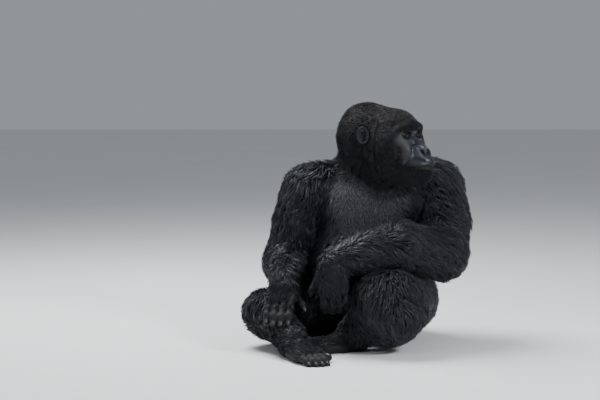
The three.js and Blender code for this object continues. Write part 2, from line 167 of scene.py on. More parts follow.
def carve(softness: float, distance: Array, *tools: Array) -> Array:
    """Takes tools out of a form, with a rounded rim: the larger of the form and each tool turned inside out."""
    for tool in tools:
        mix = np.maximum(softness - np.abs(distance + tool), 0) / softness
        distance = np.maximum(distance, -tool) + mix * mix * softness / 4
    return distance


def to_left(points: Array) -> Array:
    """Points of a frame that is alike on both sides, with those on the right moved to the left."""
    return np.stack([np.abs(points[:, 0]), points[:, 1], points[:, 2]], 1)


def away(plane_point: Point, facing: Point, points: Array) -> Array:
    """How far each point lies beyond a plane, along the way that the plane faces."""
    return (points - vec(plane_point)) @ unit(vec(facing))


@dataclass(frozen=True)
class Pose:
    """A turned and shifted frame: its origin and its three axes, one axis per column."""

    origin: Array
    axes: Array

    def into(self, points: Array) -> Array:
        """Points of the body, in this frame."""
        return (points - self.origin) @ self.axes

    def out(self, points: Array) -> Array:
        """Points of this frame, in the body's frame."""
        return points @ self.axes.T + self.origin

    def turn(self, vectors: Array) -> Array:
        """Directions of this frame, in the body's frame."""
        return vectors @ self.axes.T


@dataclass(frozen=True)
class Fold:
    """A crease or ridge of the face, drawn on its front view (x, z) or its side view (y, z), the same on both sides."""

    line: tuple[tuple[float, float], ...]
    width: float
    lift: float
    side_view: bool = False

    def trace(self, form: Callable[[Array], Array]) -> Array:
        """Lays the drawn line on a form, by looking in from the front or from the side for where the form begins.

        Args:
            form: Gives points their distance from the form.

        Returns:
            Points on the form, about 5 mm apart along the line.
        """
        corners = np.asarray(self.line, np.float32)
        marks = np.concatenate([[0], np.cumsum(np.linalg.norm(np.diff(corners, axis=0), axis=1))])
        stops = np.linspace(0, marks[-1], max(2, math.ceil(marks[-1] / 5)))
        first, second = (np.interp(stops, marks, corners[:, axis]) for axis in (0, 1))
        inward = np.arange(0, 240, 1.0, dtype=np.float32)
        rays = np.empty((len(stops), len(inward), 3), np.float32)
        rays[..., 2] = second[:, None]
        if self.side_view:
            rays[..., 0], rays[..., 1] = 120 - inward, first[:, None]
        else:
            rays[..., 0], rays[..., 1] = first[:, None], inward - 290
        meets = np.argmax(form(rays.reshape(-1, 3)).reshape(rays.shape[:2]) < 0, axis=1)
        return rays[np.arange(len(stops)), meets]

    def height(self, points: Array, path: Array) -> Array:
        """The rise over the skin: lift times exp(-(d / width)^2), with d the distance from the line.

        Args:
            points: Points in the head's frame, already turned onto the left side.
            path: The line on the skin.

        Returns:
            Millimetres of rise, negative in a crease.
        """
        rise = np.zeros(len(points), np.float32)
        reach = 2.6 * self.width
        close = ((points > path.min(0) - reach) & (points < path.max(0) + reach)).all(1)
        if not close.any():
            return rise
        chosen = points[close]
        nearest = np.full(len(chosen), 1e9, np.float32)
        for start, end in zip(path, path[1:]):
            run = end - start
            offset = chosen - start
            share = np.clip(offset @ run / max(run @ run, 1e-6), 0, 1)
            nearest = np.minimum(nearest, np.linalg.norm(offset - share[:, None] * run, axis=1))
        rise[close] = self.lift * np.exp(-((nearest / self.width) ** 2))
        return rise


FOLDS = (
    Fold(((0, -117), (14, -112), (24, -111), (42, -117), (62, -121)), 4.6, -13.0),
    Fold(((0, -124), (20, -119), (40, -125)), 4.0, 2.6),
    Fold(((0, -108), (22, -103), (46, -109)), 5.0, 2.0),
    Fold(((0, -90), (0, -104)), 3.0, -1.4),
    Fold(((3, -45), (14, -38), (27, -41), (37, -53), (37, -68), (28, -82), (12, -89)), 4.8, 5.6),
    Fold(((25, -29), (38, -35), (47, -48), (47, -64), (42, -79), (33, -90)), 5.0, -3.6),
    Fold(((0, -54), (0, -84)), 3.4, -2.6),
    Fold(((8, 0), (14, -16), (21, -36)), 3.0, -2.2),
    Fold(((13, -4), (19, -22), (26, -38)), 3.4, 2.6),
    Fold(((18, -10), (25, -26), (32, -40)), 3.0, -1.8),
    Fold(((24, -14), (32, -28), (40, -40)), 3.6, 2.2),
    Fold(((29, -18), (40, -31), (50, -46)), 3.2, -2.6),
    Fold(((25, -13), (40, -17), (57, -11)), 4.0, 2.4),
    Fold(((0, -139), (26, -140), (46, -147)), 8.0, -3.0),
    Fold(((-152, -46), (-154, -64), (-146, -90), (-136, -108)), 6.0, -5.0, side_view=True),
    Fold(((-138, -36), (-140, -60), (-130, -88)), 7.0, 2.6, side_view=True),
    Fold(((-124, -40), (-118, -66), (-114, -92)), 5.0, -2.4, side_view=True),
    Fold(((-176, -84), (-168, -98), (-158, -110)), 5.0, -2.0, side_view=True),
)
HAIRLINE_HEIGHTS = (-190, -150, -130, -124, -119, -114, -109, -98, -60, -20, 4, 12, 20, 40)
HAIRLINE_PLACES = (290, 266, 246, 232, 216, 186, 136, 126, 128, 129, 129, 142, 200, 300)


@dataclass(frozen=True)
class Head:
    """The head's forms, in its own frame: X to its left, -Y forward, Z up, the origin midway between the ears."""

    centre: Point = (34.0, -118.0, 790.0)
    turn: float = 55.0
    eye: Point = (40.0, -139.0, 1.0)
    eye_radius: float = 13.0
    orbit: Point = (41.0, -160.0, 0.0)
    orbit_radii: Point = (25.0, 22.0, 14.5)
    ear: Point = (104.0, -4.0, 0.0)
    ear_flare: float = 0.5

    def pose(self) -> Pose:
        """The head's frame in the body's.

        Returns:
            The frame.
        """
        angle = math.radians(self.turn)
        axes = [[math.cos(angle), -math.sin(angle), 0], [math.sin(angle), math.cos(angle), 0], [0, 0, 1]]
        return Pose(vec(self.centre), np.asarray(axes, np.float32))

    def form(self, points: Array) -> Array:
        """The head's main form: skull, muzzle, brow and nose flowing together, with the orbits taken out.

        Args:
            points: Points in the head's frame.

        Returns:
            One distance per point.
        """

        def pair(centre: Point, radii: Point) -> list[Array]:
            """Two eggs, one on each side."""
            return [egg(points, (side * centre[0], *centre[1:]), radii) for side in (1, -1)]

        def bars(start: Point, end: Point, first: float, last: float) -> list[Array]:
            """Two limbs, one on each side."""
            return [limb(points, (s * start[0], *start[1:]), (s * end[0], *end[1:]), first, last) for s in (1, -1)]

        skull = blend(
            30,
            egg(points, (0, 34, 18), (98, 118, 92)),
            egg(points, (0, 48, 56), (62, 92, 62)),
            egg(points, (0, 62, -14), (96, 104, 92)),
            egg(points, (0, -22, 40), (62, 66, 58)),
            egg(points, (0, -74, 36), (80, 72, 63)),
            egg(points, (0, -112, 36), (62, 50, 46)),
            *pair((66, -56, -50), (44, 78, 84)),
            egg(points, (0, -112, -40), (74, 47, 62)),
            *pair((44, -126, -30), (34, 30, 36)),
            egg(points, (0, -184, -106), (61, 62, 38)),
            egg(points, (0, -172, -150), (60, 70, 36)),
            *bars((56, -50, -116), (28, -150, -152), 50, 42),
            *bars((54, -126, -8), (45, -154, -56), 32, 31),
            *pair((74, -94, -26), (32, 48, 42)),
        )
        brow = blend(14, *bars((0, -148, 33), (63, -143, 27), 24, 20))
        nose = blend(
            12,
            limb(points, (0, -132, 8), (0, -192, -48), 9, 20),
            *pair((20, -198, -64), (21, 21, 20)),
            egg(points, (0, -204, -80), (22, 19, 13)),
        )
        return carve(10, blend(16, skull, brow, nose), *pair(self.orbit, self.orbit_radii))

    def whole(self, points: Array) -> Array:
        """The head with its throat, without ears."""
        return blend(26, self.form(points), egg(points, (0, -30, -130), (76, 84, 76)))

    @cached_property
    def creases(self) -> list[tuple[Fold, Array]]:
        """Every fold with its line on the skin."""
        return [(fold, fold.trace(self.whole)) for fold in FOLDS]

    def folds(self, points: Array) -> Array:
        """The rise of all creases and ridges of the face together."""
        left = to_left(points)
        return sum(fold.height(left, path) for fold, path in self.creases)

    def ears(self, points: Array) -> Array:
        """Both ears: a flat egg with a rolled rim along an oval, a bowl and an inner ridge.

        Args:
            points: Points in the head's frame.

        Returns:
            One distance per point.
        """
        offset = to_left(points) - vec(self.ear)
        cos, sin = math.cos(self.ear_flare), math.sin(self.ear_flare)
        local = np.stack(
            [cos * offset[:, 0] - sin * offset[:, 1], sin * offset[:, 0] + cos * offset[:, 1], offset[:, 2]], 1
        )
        oval = np.hypot(local[:, 1] / 17.5, local[:, 2] / 28.5)
        across = np.hypot(local[:, 1], local[:, 2]) * (1 - 1 / np.maximum(oval, 1e-3))
        rim = np.hypot(across, local[:, 0] - 6) - 4.4
        shell = blend(4, egg(local, (-1, 0, 0), (8, 20, 31)), rim)
        bowl = carve(3, shell, egg(local, (9, -2, -4), (15, 12, 20)))
        inner = blend(
            3, bowl, limb(local, (4, 7, 17), (5, 9, -4), 3.4, 3.0), limb(local, (4, -3, 12), (4, 7, 17), 2.6, 3.4)
        )
        return blend(3, inner, limb(local, (3, -16, -10), (4, -15, 0), 4.6, 4.2))

    def detailed(self, points: Array) -> Array:
        """The bare head: main form with folds, lids round the eyes, nostrils and ears.

        Args:
            points: Points in the head's frame.

        Returns:
            One distance per point.
        """
        form = self.whole(points) - self.folds(points)
        near = to_left(points)
        x, y, z = self.eye
        lids = blend(4, egg(near, (x, y + 2.0, z), (17.4, 16.8, 15.5)), egg(near, (x, y - 3, z + 9), (16, 11, 5)))
        lined = blend(5, form, lids)
        opening = egg(near, (x + 1.0, y - 11, z - 1.2), (15.5, 13, 4.4))
        socket = egg(near, (x, y, z), (12.7, 12.7, 12.7))
        open_eye = carve(1.5, carve(1.5, lined, opening), socket)
        nostril = blend(4, egg(near, (22, -211, -60), (13, 18, 9.5)), egg(near, (12, -217, -68), (7, 14, 6.5)))
        return blend(5, carve(3.5, open_eye, nostril), self.ears(points))

    @staticmethod
    def ahead(points: Array) -> Array:
        """How far points lie in front of the hairline, which stands at its own place at each height of the face.

        Args:
            points: Points in the head's frame.

        Returns:
            Millimetres, one per point.
        """
        line = np.interp(points[:, 2], HAIRLINE_HEIGHTS, HAIRLINE_PLACES)
        waves = 3.0 * np.sin(points[:, 2] / 7 + points[:, 0] / 11)
        uneven = waves + 2.5 * np.sin(points[:, 2] / 3.4 - points[:, 0] / 5)
        cheek = 16 * ramp(np.abs(points[:, 0]), 40, 80) * ramp(-points[:, 2], 14, 50)
        return -points[:, 1] - line - 0.12 * np.abs(points[:, 0]) - cheek + uneven

    def fullness(self, points: Array) -> Array:
        """How deep and long the head's hair is: a quarter at the hairline, 1 from the ears backwards."""
        from_nose = np.linalg.norm(points - vec((0, -170, -30)), axis=1)
        return (1 - self.bare(points)) * (0.22 + 0.78 * ramp(from_nose, 72, 195))

    def bare(self, points: Array) -> Array:
        """How bare the skin is, 1 on the face, brow, lips and ears, 0 where the coat is full.

        Args:
            points: Points in the head's frame.

        Returns:
            One share per point.
        """
        face = ramp(self.ahead(points), -15, 11)
        ears = ramp(-self.ears(points), -7, -2)
        return np.maximum(face, ears)

    def flow(self, points: Array) -> Array:
        """The lie of the head's hair, in its own frame: back from the face over crown and cheeks, down behind.

        Args:
            points: Points in the head's frame.

        Returns:
            One direction per point.
        """
        back = unit(points - vec((0, -196, -6)))
        down = ramp(points[:, 1], 30, 130)[:, None] * vec((0, 0, -1.3))
        beard = ramp(-points[:, 2], 40, 150)[:, None] * vec((0, 0.2, -0.9))
        return unit(back + down + beard)


@dataclass(frozen=True)
class Paw:
    """A hand or foot: its frame runs along to the fingertips, across towards the thumb and up out of the back."""

    root: Point
    along: Point
    back: Point
    thumb_side: int
    is_foot: bool
    bends: tuple[float, ...]
    thumb_bends: tuple[float, ...]
    thumb_spread: float
    rows: tuple[float, ...] = (-1.5, -0.5, 0.5, 1.5)

    @property
    def fronts(self) -> tuple[float, ...]:
        """How far along each digit but the thumb begins."""
        return (108, 120, 126, 124) if self.is_foot else (80, 90, 92, 86)

    def pose(self) -> Pose:
        """The paw's frame: columns along, across and up.

        Returns:
            The frame.
        """
        forward = unit(vec(self.along))
        side = unit(np.cross(forward, vec(self.back))) * self.thumb_side
        top = np.cross(side, forward) * self.thumb_side
        return Pose(vec(self.root), np.stack([forward, side, top], 1).astype(np.float32))

    def digits(self) -> list[tuple[Array, float]]:
        """The joints of each digit in the paw's frame, with its radius; each bone bends further than the last.

        Returns:
            A list of joints and radius, the thumb or great toe last.
        """
        if self.is_foot:
            bones, radius = (34, 24, 20), 14.0
            bases = [(self.fronts[i], row * 22 - 4, -42) for i, row in enumerate(self.rows)]
            thumb_base, thumb_bones, thumb_radius = (56, 40, -42), (46, 36), radius + 4
        else:
            bones, radius = (50, 38, 28), 16.0
            bases = [(self.fronts[i], row * 27, 2) for i, row in enumerate(self.rows)]
            thumb_base, thumb_bones, thumb_radius = (26, 46, -12), (34, 30, 20), radius - 1
        made = [(self._joints(base, bones, self.bends, 0.0), radius) for base in bases]
        if not self.is_foot:
            made[0] = (made[0][0], radius - 2)
        made.append((self._joints(thumb_base, thumb_bones, self.thumb_bends, self.thumb_spread), thumb_radius))
        return made

    @staticmethod
    def _joints(base: Point, bones: tuple[float, ...], bends: tuple[float, ...], spread: float) -> Array:
        """Joints of one digit: steps of cos and sin of the bends so far, turned aside by the spread.

        Args:
            base: The first joint.
            bones: The length of each bone.
            bends: The bend at each joint, in degrees.
            spread: The turn aside, in radians.

        Returns:
            One joint per row.
        """
        angles = np.radians(np.cumsum(bends))
        steps = np.stack(
            [
                np.cos(angles) * math.cos(spread),
                np.full(len(bones), math.sin(spread)),
                -np.sin(angles) * math.cos(spread),
            ],
            1,
        )
        return np.concatenate([[base], base + np.cumsum(steps * np.asarray(bones)[:, None], 0)]).astype(np.float32)

    def form(self, points: Array) -> Array:
        """Palm or sole with its digits, in the paw's own frame.

        Args:
            points: Points in the paw's frame.

        Returns:
            One distance per point.
        """
        if self.is_foot:
            base = blend(
                24,
                egg(points, (-26, 0, -28), (44, 44, 40)),
                limb(points, (-20, 0, -32), (60, -2, -34), 38, 34),
                *[
                    limb(points, (40, row * 16, -36), (self.fronts[i], row * 22 - 4, -40), 28, 22)
                    for i, row in enumerate(self.rows)
                ],
                limb(points, (20, 22, -40), (60, 42, -42), 26, 22),
                limb(points, (0, 0, 0), (26, 0, -30), 54, 36),
            )
        else:
            base = blend(
                18,
                limb(points, (-6, 0, 0), (30, 0, 0), 50, 40),
                *[
                    limb(points, (18, row * 18, -2), (self.fronts[i], row * 27, 0), 28, 21)
                    for i, row in enumerate(self.rows)
                ],
                limb(points, (10, 22, -8), (40, 48, -12), 26, 20),
            )
        digits = []
        for joints, radius in self.digits():
            last = len(joints) - 1
            taper = [radius * (1 - 0.22 * joint / last) for joint in range(last + 1)]
            bones = [limb(points, joints[i], joints[i + 1], taper[i], taper[i + 1]) for i in range(last)]
            knuckles = [
                egg(points, joints[i], (taper[i] * 1.08, taper[i] * 1.06, taper[i] * 1.1)) for i in range(1, last)
            ]
            digits.append(blend(5, *bones, *knuckles))
        toes = digits[0]
        for digit in digits[1:]:
            toes = blend(2.5, toes, digit)
        return blend(7, base, toes)

    def bare(self, points: Array) -> Array:
        """1 on the palm, sole and digits, 0 on the hairy back, for points in the paw's frame.

        Args:
            points: Points in the paw's frame.

        Returns:
            One share per point.
        """
        along, above = points[:, 0], points[:, 2]
        if self.is_foot:
            return np.maximum(ramp(-above, 24, 46), ramp(along, 118, 160))
        return np.maximum(ramp(-above, 8, 26) * ramp(70 - along, -90, 0), ramp(along, 118, 172))


@dataclass(frozen=True)
class Zone:
    """A part of the skin that is meshed finer: all that lies beyond a plane, or within a ball if it faces nowhere.

    Where it begins it dives under the coarser skin round it, and further on the coarser skin dives under it.
    """

    name: str
    region: Region
    carrier: Region
    place: Point
    facing: Point | None
    softness: float
    cell: float
    low: Point
    high: Point
    radius: float = 0.0
    dive: float = 9.0
    over: float = 50.0
    cap: float = 40.0
    detailed: bool = False

    def within(self, points: Array) -> Array:
        """How far points lie inside the zone."""
        if self.facing is None:
            return self.radius - np.linalg.norm(points - vec(self.place), axis=1)
        return away(self.place, self.facing, points)

    def outer_dive(self, points: Array) -> Array:
        """How deep the coarser skin lies under this zone's."""
        return self.dive * np.clip((self.within(points) + 0.2 * self.over) / self.over, 0, 1)

    def own_dive(self, points: Array) -> Array:
        """How deep this zone's skin lies where it begins."""
        return self.dive * np.clip((0.2 * self.over - self.within(points)) / self.over, 0, 1)


PAW_BOX = {"low": (-120.0, -110.0, -110.0), "high": (240.0, 110.0, 90.0), "cell": 4.6}
HEAD_AXES = Head().pose()
FACE = Zone(
    "face", Region.HEAD, Region.NECK,
    tuple(HEAD_AXES.out(vec((0, -64, 0)))), tuple(HEAD_AXES.turn(vec((0, -1, 0)))), 40, 2.2,
    (-112.0, -264.0, -204.0), (112.0, -22.0, 112.0), dive=34.0, over=70.0, detailed=True,
)
EARS = tuple(
    Zone(
        name, Region.HEAD, Region.NECK, tuple(HEAD_AXES.out(vec((side * 104, -4, 0)))), None, 40, 2.3,
        (min(side * 60.0, side * 134.0), -52.0, -50.0), (max(side * 60.0, side * 134.0), 46.0, 50.0),
        radius=40.0, dive=16.0, over=30.0, cap=8.0, detailed=True,
    )
    for name, side in (("ear_left", 1), ("ear_right", -1))
)
HEAD_ZONE = Zone(
    "head", Region.HEAD, Region.NECK, (20, -44, 692), (0.25, -0.45, 0.85), 40, 6.0,
    (-136.0, -262.0, -236.0), (136.0, 180.0, 134.0),
)
ZONES = (
    HEAD_ZONE,
    Zone("hand_left", Region.HAND_LEFT, Region.FOREARM_LEFT, (-140, -378, 318), (0.1, -0.2, -1), 24, **PAW_BOX),
    Zone("hand_right", Region.HAND_RIGHT, Region.FOREARM_RIGHT, (-310, -290, 252), (-0.05, -1, -0.3), 24, **PAW_BOX),
    Zone("foot_left", Region.FOOT_LEFT, Region.SHIN_LEFT, (-70, -324, 70), (-0.4, -0.1, -0.9), 20, **PAW_BOX),
    Zone("foot_right", Region.FOOT_RIGHT, Region.SHIN_RIGHT, (-282, -466, 72), (0.2, -0.4, -0.9), 20, **PAW_BOX),
)


@dataclass(frozen=True)
class Pelt:
    """The coat of one region: how deep the skin lies under the tips, and the tufts' sizes, lie and colour."""

    depth: float
    length: float
    width: float
    density: float
    gather: float
    wave: float
    tone: tuple[float, float, float]


BLACK = (0.0072, 0.0073, 0.0090)
PELTS = {
    Region.TRUNK: Pelt(24, 56, 4.6, 2.1, 0.45, 0.06, (0.0080, 0.0080, 0.0096)),
    Region.NECK: Pelt(20, 42, 3.6, 3.4, 0.35, 0.05, (0.0080, 0.0078, 0.0088)),
    Region.HEAD: Pelt(11, 19, 2.3, 8.0, 0.22, 0.03, (0.0085, 0.0080, 0.0086)),
    Region.ARM_RIGHT: Pelt(27, 68, 4.6, 2.9, 0.62, 0.09, (0.0080, 0.0084, 0.0108)),
    Region.FOREARM_RIGHT: Pelt(29, 66, 4.6, 2.9, 0.58, 0.09, (0.0075, 0.0077, 0.0096)),
    Region.ARM_LEFT: Pelt(27, 68, 4.6, 2.9, 0.66, 0.12, (0.0080, 0.0084, 0.0108)),
    Region.FOREARM_LEFT: Pelt(27, 62, 4.2, 3.3, 0.56, 0.08, (0.0082, 0.0084, 0.0102)),
    Region.THIGH_RIGHT: Pelt(24, 56, 4.6, 2.4, 0.50, 0.07, BLACK),
    Region.SHIN_RIGHT: Pelt(20, 50, 4.4, 2.7, 0.50, 0.07, BLACK),
    Region.THIGH_LEFT: Pelt(24, 56, 4.2, 3.0, 0.50, 0.07, (0.0084, 0.0088, 0.0112)),
    Region.SHIN_LEFT: Pelt(20, 50, 4.4, 2.7, 0.50, 0.07, BLACK),
    Region.HAND_RIGHT: Pelt(8, 26, 2.8, 5.0, 0.35, 0.04, BLACK),
    Region.HAND_LEFT: Pelt(8, 26, 2.8, 5.0, 0.35, 0.04, BLACK),
    Region.FOOT_RIGHT: Pelt(6, 20, 2.6, 5.0, 0.30, 0.04, BLACK),
    Region.FOOT_LEFT: Pelt(6, 20, 2.6, 5.0, 0.30, 0.04, BLACK),
}


class Body:
    """The whole animal as rounded forms, region by region, and the field of its skin under the coat."""

    shoulder_right: Point = (-212, 10, 562)
    elbow_right: Point = (-298, 5, 292)
    wrist_right: Point = (-310, -282, 254)
    shoulder_left: Point = (268, 38, 578)
    elbow_left: Point = (280, -140, 338)
    wrist_left: Point = (-134, -366, 342)
    hip_right: Point = (-128, 10, 132)
    knee_right: Point = (-372, -236, 128)
    ankle_right: Point = (-282, -462, 68)
    hip_left: Point = (142, 0, 150)
    knee_left: Point = (76, -346, 170)
    ankle_left: Point = (-66, -322, 66)
    bow_arm_right: Point = (-250, 16, 440)
    bow_arm_left: Point = (288, -30, 450)
    bow_forearm_left: Point = (110, -246, 386)
    cuff_left: Point = (-30, -314, 356)
    knee_dome_left: Point = (66, -372, 168)
    floor: float = 0.3

    def __init__(self) -> None:
        """Sets the head and the four paws in their frames."""
        self.head = Head()
        self.head_pose = self.head.pose()
        curl = {"bends": (8, 50, 70), "thumb_bends": (10, 20, 20), "thumb_spread": 0.5}
        rest = {"bends": (0, 12, 20), "thumb_bends": (10, 20, 20), "thumb_spread": 0.5}
        toes = {"bends": (4, 12, 18), "thumb_bends": (2, 14), "thumb_spread": 0.42}
        self.paws = {
            Region.HAND_LEFT: Paw((-140, -384, 322), (0.1, -0.1, -1), (-0.05, -1, 0.1), 1, False, **curl),
            Region.HAND_RIGHT: Paw((-314, -294, 246), (-0.12, -0.82, -0.52), (-0.05, -0.5, 0.85), -1, False, **rest),
            Region.FOOT_LEFT: Paw(self.ankle_left, (-0.95, -0.3, 0), (0, 0, 1), 1, True, **toes),
            Region.FOOT_RIGHT: Paw(self.ankle_right, (0.5, -0.86, 0), (0, 0, 1), -1, True, **toes),
        }
        self.flows = {
            Region.TRUNK: (0, 0.1, -1),
            Region.NECK: (0, 0.25, -1),
            Region.ARM_RIGHT: tuple(unit(vec((-0.55, 0.0, -1.0)))),
            Region.FOREARM_RIGHT: tuple(unit(vec((-0.25, -0.30, -1.0)))),
            Region.ARM_LEFT: tuple(unit(vec((0.50, -0.2, -1.0)))),
            Region.FOREARM_LEFT: self._way(self.wrist_left, self.elbow_left, 0.85),
            Region.THIGH_RIGHT: self._way(self.hip_right, self.knee_right, 0.8),
            Region.SHIN_RIGHT: self._way(self.knee_right, self.ankle_right, 0.3),
            Region.THIGH_LEFT: self._way(self.hip_left, self.knee_left, 0.9),
            Region.SHIN_LEFT: self._way(self.knee_left, self.ankle_left, 0.3),
            **{region: tuple(unit(vec(paw.along))) for region, paw in self.paws.items()},
        }

    @staticmethod
    def _way(start: Point, end: Point, fall: float) -> Point:
        """The direction of a bone with some of gravity's added."""
        return tuple(unit(unit(vec(end) - vec(start)) + vec((0, 0, -fall))))

    def region(self, region: Region, points: Array) -> Array:
        """The form of one region out to the tips of its coat.

        Args:
            region: Which part of the body.
            points: Points in the body's frame.

        Returns:
            One distance per point.
        """
        if region is Region.TRUNK:
            return blend(
                60,
                egg(points, (0, 66, 150), (232, 196, 178)),
                egg(points, (4, -44, 270), (226, 206, 210)),
                egg(points, (8, 66, 330), (206, 150, 200)),
                egg(points, (16, 16, 450), (196, 180, 230)),
                egg(points, (24, 92, 560), (222, 122, 146)),
                limb(points, (-150, 30, 585), (220, 44, 592), 98, 104),
                egg(points, (-62, -92, 520), (104, 78, 96)),
                egg(points, (104, -88, 524), (104, 78, 96)),
            )
        if region is Region.NECK:
            return limb(points, (12, 24, 600), (6, -44, 742), 140, 112)
        if region is Region.HEAD:
            return self.head.whole(self.head_pose.into(points))
        if region in self.paws:
            paw = self.paws[region]
            return self._local(points, paw.root, 190, lambda near: paw.form(paw.pose().into(near)))
        limbs = {
            Region.ARM_RIGHT: (
                (self.shoulder_right, self.bow_arm_right, 122, 106), (self.bow_arm_right, self.elbow_right, 106, 104)
            ),
            Region.FOREARM_RIGHT: (((-304, -20, 292), self.wrist_right, 92, 55),),
            Region.ARM_LEFT: (
                (self.shoulder_left, self.bow_arm_left, 118, 110), (self.bow_arm_left, self.elbow_left, 110, 104)
            ),
            Region.FOREARM_LEFT: (
                (self.elbow_left, self.bow_forearm_left, 102, 96),
                (self.bow_forearm_left, self.cuff_left, 94, 76),
                (self.cuff_left, self.wrist_left, 76, 62),
            ),
            Region.THIGH_RIGHT: ((self.hip_right, self.knee_right, 134, 100),),
            Region.SHIN_RIGHT: ((self.knee_right, self.ankle_right, 92, 56),),
            Region.THIGH_LEFT: ((self.hip_left, self.knee_left, 146, 132),),
            Region.SHIN_LEFT: ((self.knee_left, self.ankle_left, 104, 56),),
        }
        bones = [limb(points, *bone) for bone in limbs[region]]
        if region is Region.THIGH_LEFT:
            bones.append(egg(points, self.knee_dome_left, (148, 130, 148)))
        return blend(40, *bones)

    @staticmethod
    def _local(points: Array, centre: Point, reach: float, form: Callable[[Array], Array]) -> Array:
        """A form worked out only near its centre; further off its distance is that from a ball of that reach.

        Args:
            points: Points in the body's frame.
            centre: The middle of the form.
            reach: The radius of the ball.
            form: Gives points their distance from the form.

        Returns:
            One distance per point.
        """
        gap = np.linalg.norm(points - vec(centre), axis=1) - reach
        close = gap < 90
        gap = gap.astype(np.float32)
        if close.any():
            gap[close] = form(points[close])
        return gap

    def regions(self, points: Array) -> dict[Region, Array]:
        """The distances of all regions."""
        return {region: self.region(region, points) for region in Region}

    @staticmethod
    def join(parts: dict[Region, Array]) -> Array:
        """Joins the regions: softly along each limb, sharply where limbs only touch.

        Args:
            parts: The distance of each region.

        Returns:
            The distance of the whole.
        """
        R = Region
        torso = blend(50, parts[R.TRUNK], parts[R.NECK], parts[R.ARM_RIGHT], parts[R.ARM_LEFT])
        arm_right = blend(24, blend(40, parts[R.ARM_RIGHT], parts[R.FOREARM_RIGHT]), parts[R.HAND_RIGHT])
        arm_left = blend(24, blend(40, parts[R.ARM_LEFT], parts[R.FOREARM_LEFT]), parts[R.HAND_LEFT])
        leg_right = blend(20, blend(40, parts[R.THIGH_RIGHT], parts[R.SHIN_RIGHT]), parts[R.FOOT_RIGHT])
        leg_left = blend(20, blend(40, parts[R.THIGH_LEFT], parts[R.SHIN_LEFT]), parts[R.FOOT_LEFT])
        return blend(10, blend(40, torso, parts[R.HEAD]), arm_right, arm_left, leg_right, leg_left)

    @staticmethod
    def shares(parts: dict[Region, Array], softness: float = 13.0) -> dict[Region, Array]:
        """How much each region counts at each point: exp(-d / softness), brought to a sum of one.

        Args:
            parts: The distance of each region.
            softness: The distance over which a share falls to about a third.

        Returns:
            One share per point for each region.
        """
        nearest = np.min(list(parts.values()), axis=0)
        weights = {region: np.exp(-(distance - nearest) / softness) for region, distance in parts.items()}
        total = sum(weights.values())
        return {region: weight / total for region, weight in weights.items()}

    def depth(self, points: Array, parts: dict[Region, Array]) -> Array:
        """How deep the skin lies under the tips of the coat.

        Args:
            points: Points in the body's frame.
            parts: Distances of the regions that count here.

        Returns:
            Millimetres, one per point.
        """
        total = np.zeros(len(points), np.float32)
        for region, share in self.shares(parts).items():
            deep = PELTS[region].depth
            if region is Region.HEAD:
                local = self.head_pose.into(points)
                deep = deep * self.head.fullness(local) * (1 + 0.5 * ramp(local[:, 1], 20, 140))
            elif region in self.paws:
                paw = self.paws[region]
                deep = deep * (1 - paw.bare(paw.pose().into(points)))
            total += share * deep
        return total * (1 - 0.62 * self.chest(points, self.shares(parts)))

    @staticmethod
    def chest(points: Array, shares: dict[Region, Array]) -> Array:
        """1 on the short-haired patch of the chest, falling to 0 round it.

        Args:
            points: Points in the body's frame.
            shares: How much each region counts.

        Returns:
            One share per point.
        """
        trunk = shares.get(Region.TRUNK, 0) + shares.get(Region.NECK, 0)
        across = ramp(150 - np.abs(points[:, 0] + 6), 0, 60)
        up = ramp(points[:, 2], 370, 430) * ramp(652 - points[:, 2], 0, 50)
        return trunk * across * up * ramp(-points[:, 1], 30, 90)

    def skin(self, points: Array, fine: Zone | None = None) -> Array:
        """The skin's distance: the joined forms, sunk by the coat's depth and stood on the floor.

        Args:
            points: Points in the body's frame.
            fine: The zone to mesh on its own, or None for the whole body, which then lies a little inside the zones.

        Returns:
            One distance per point.
        """
        if fine is not None:
            parts = {region: self.region(region, points) for region in (fine.region, fine.carrier)}
            if fine.detailed:
                parts[fine.region] = self.head.detailed(self.head_pose.into(points))
            whole = blend(fine.softness, *parts.values()) + self.depth(points, parts) + fine.own_dive(points)
            for inner in (FACE, *EARS) if fine is HEAD_ZONE else ():
                whole = whole + inner.outer_dive(points)
            return np.maximum(np.maximum(whole, -fine.within(points) - fine.cap), self.floor - points[:, 2])
        parts = self.regions(points)
        deep = self.depth(points, parts)
        for zone in ZONES:
            dive = zone.outer_dive(points)
            parts[zone.region] = parts[zone.region] + dive
            parts[zone.carrier] = parts[zone.carrier] + dive
        parts[Region.HEAD] = parts[Region.HEAD] + FACE.outer_dive(points)
        return np.maximum(self.join(parts) + deep, self.floor - points[:, 2])

    def surface(self, points: Array) -> Array:
        """The skin's distance for laying the coat: the same forms without the fine folds."""
        parts = self.regions(points)
        return self.join(parts) + self.depth(points, parts)

    def slope(self, points: Array, level: Array, step: float = 2.0) -> Array:
        """The direction straight out of the skin, from the differences of its distance along X, Y and Z."""
        parts = [self.surface(points + vec(axis) * step) - level for axis in ((1, 0, 0), (0, 1, 0), (0, 0, 1))]
        return unit(np.stack(parts, 1))

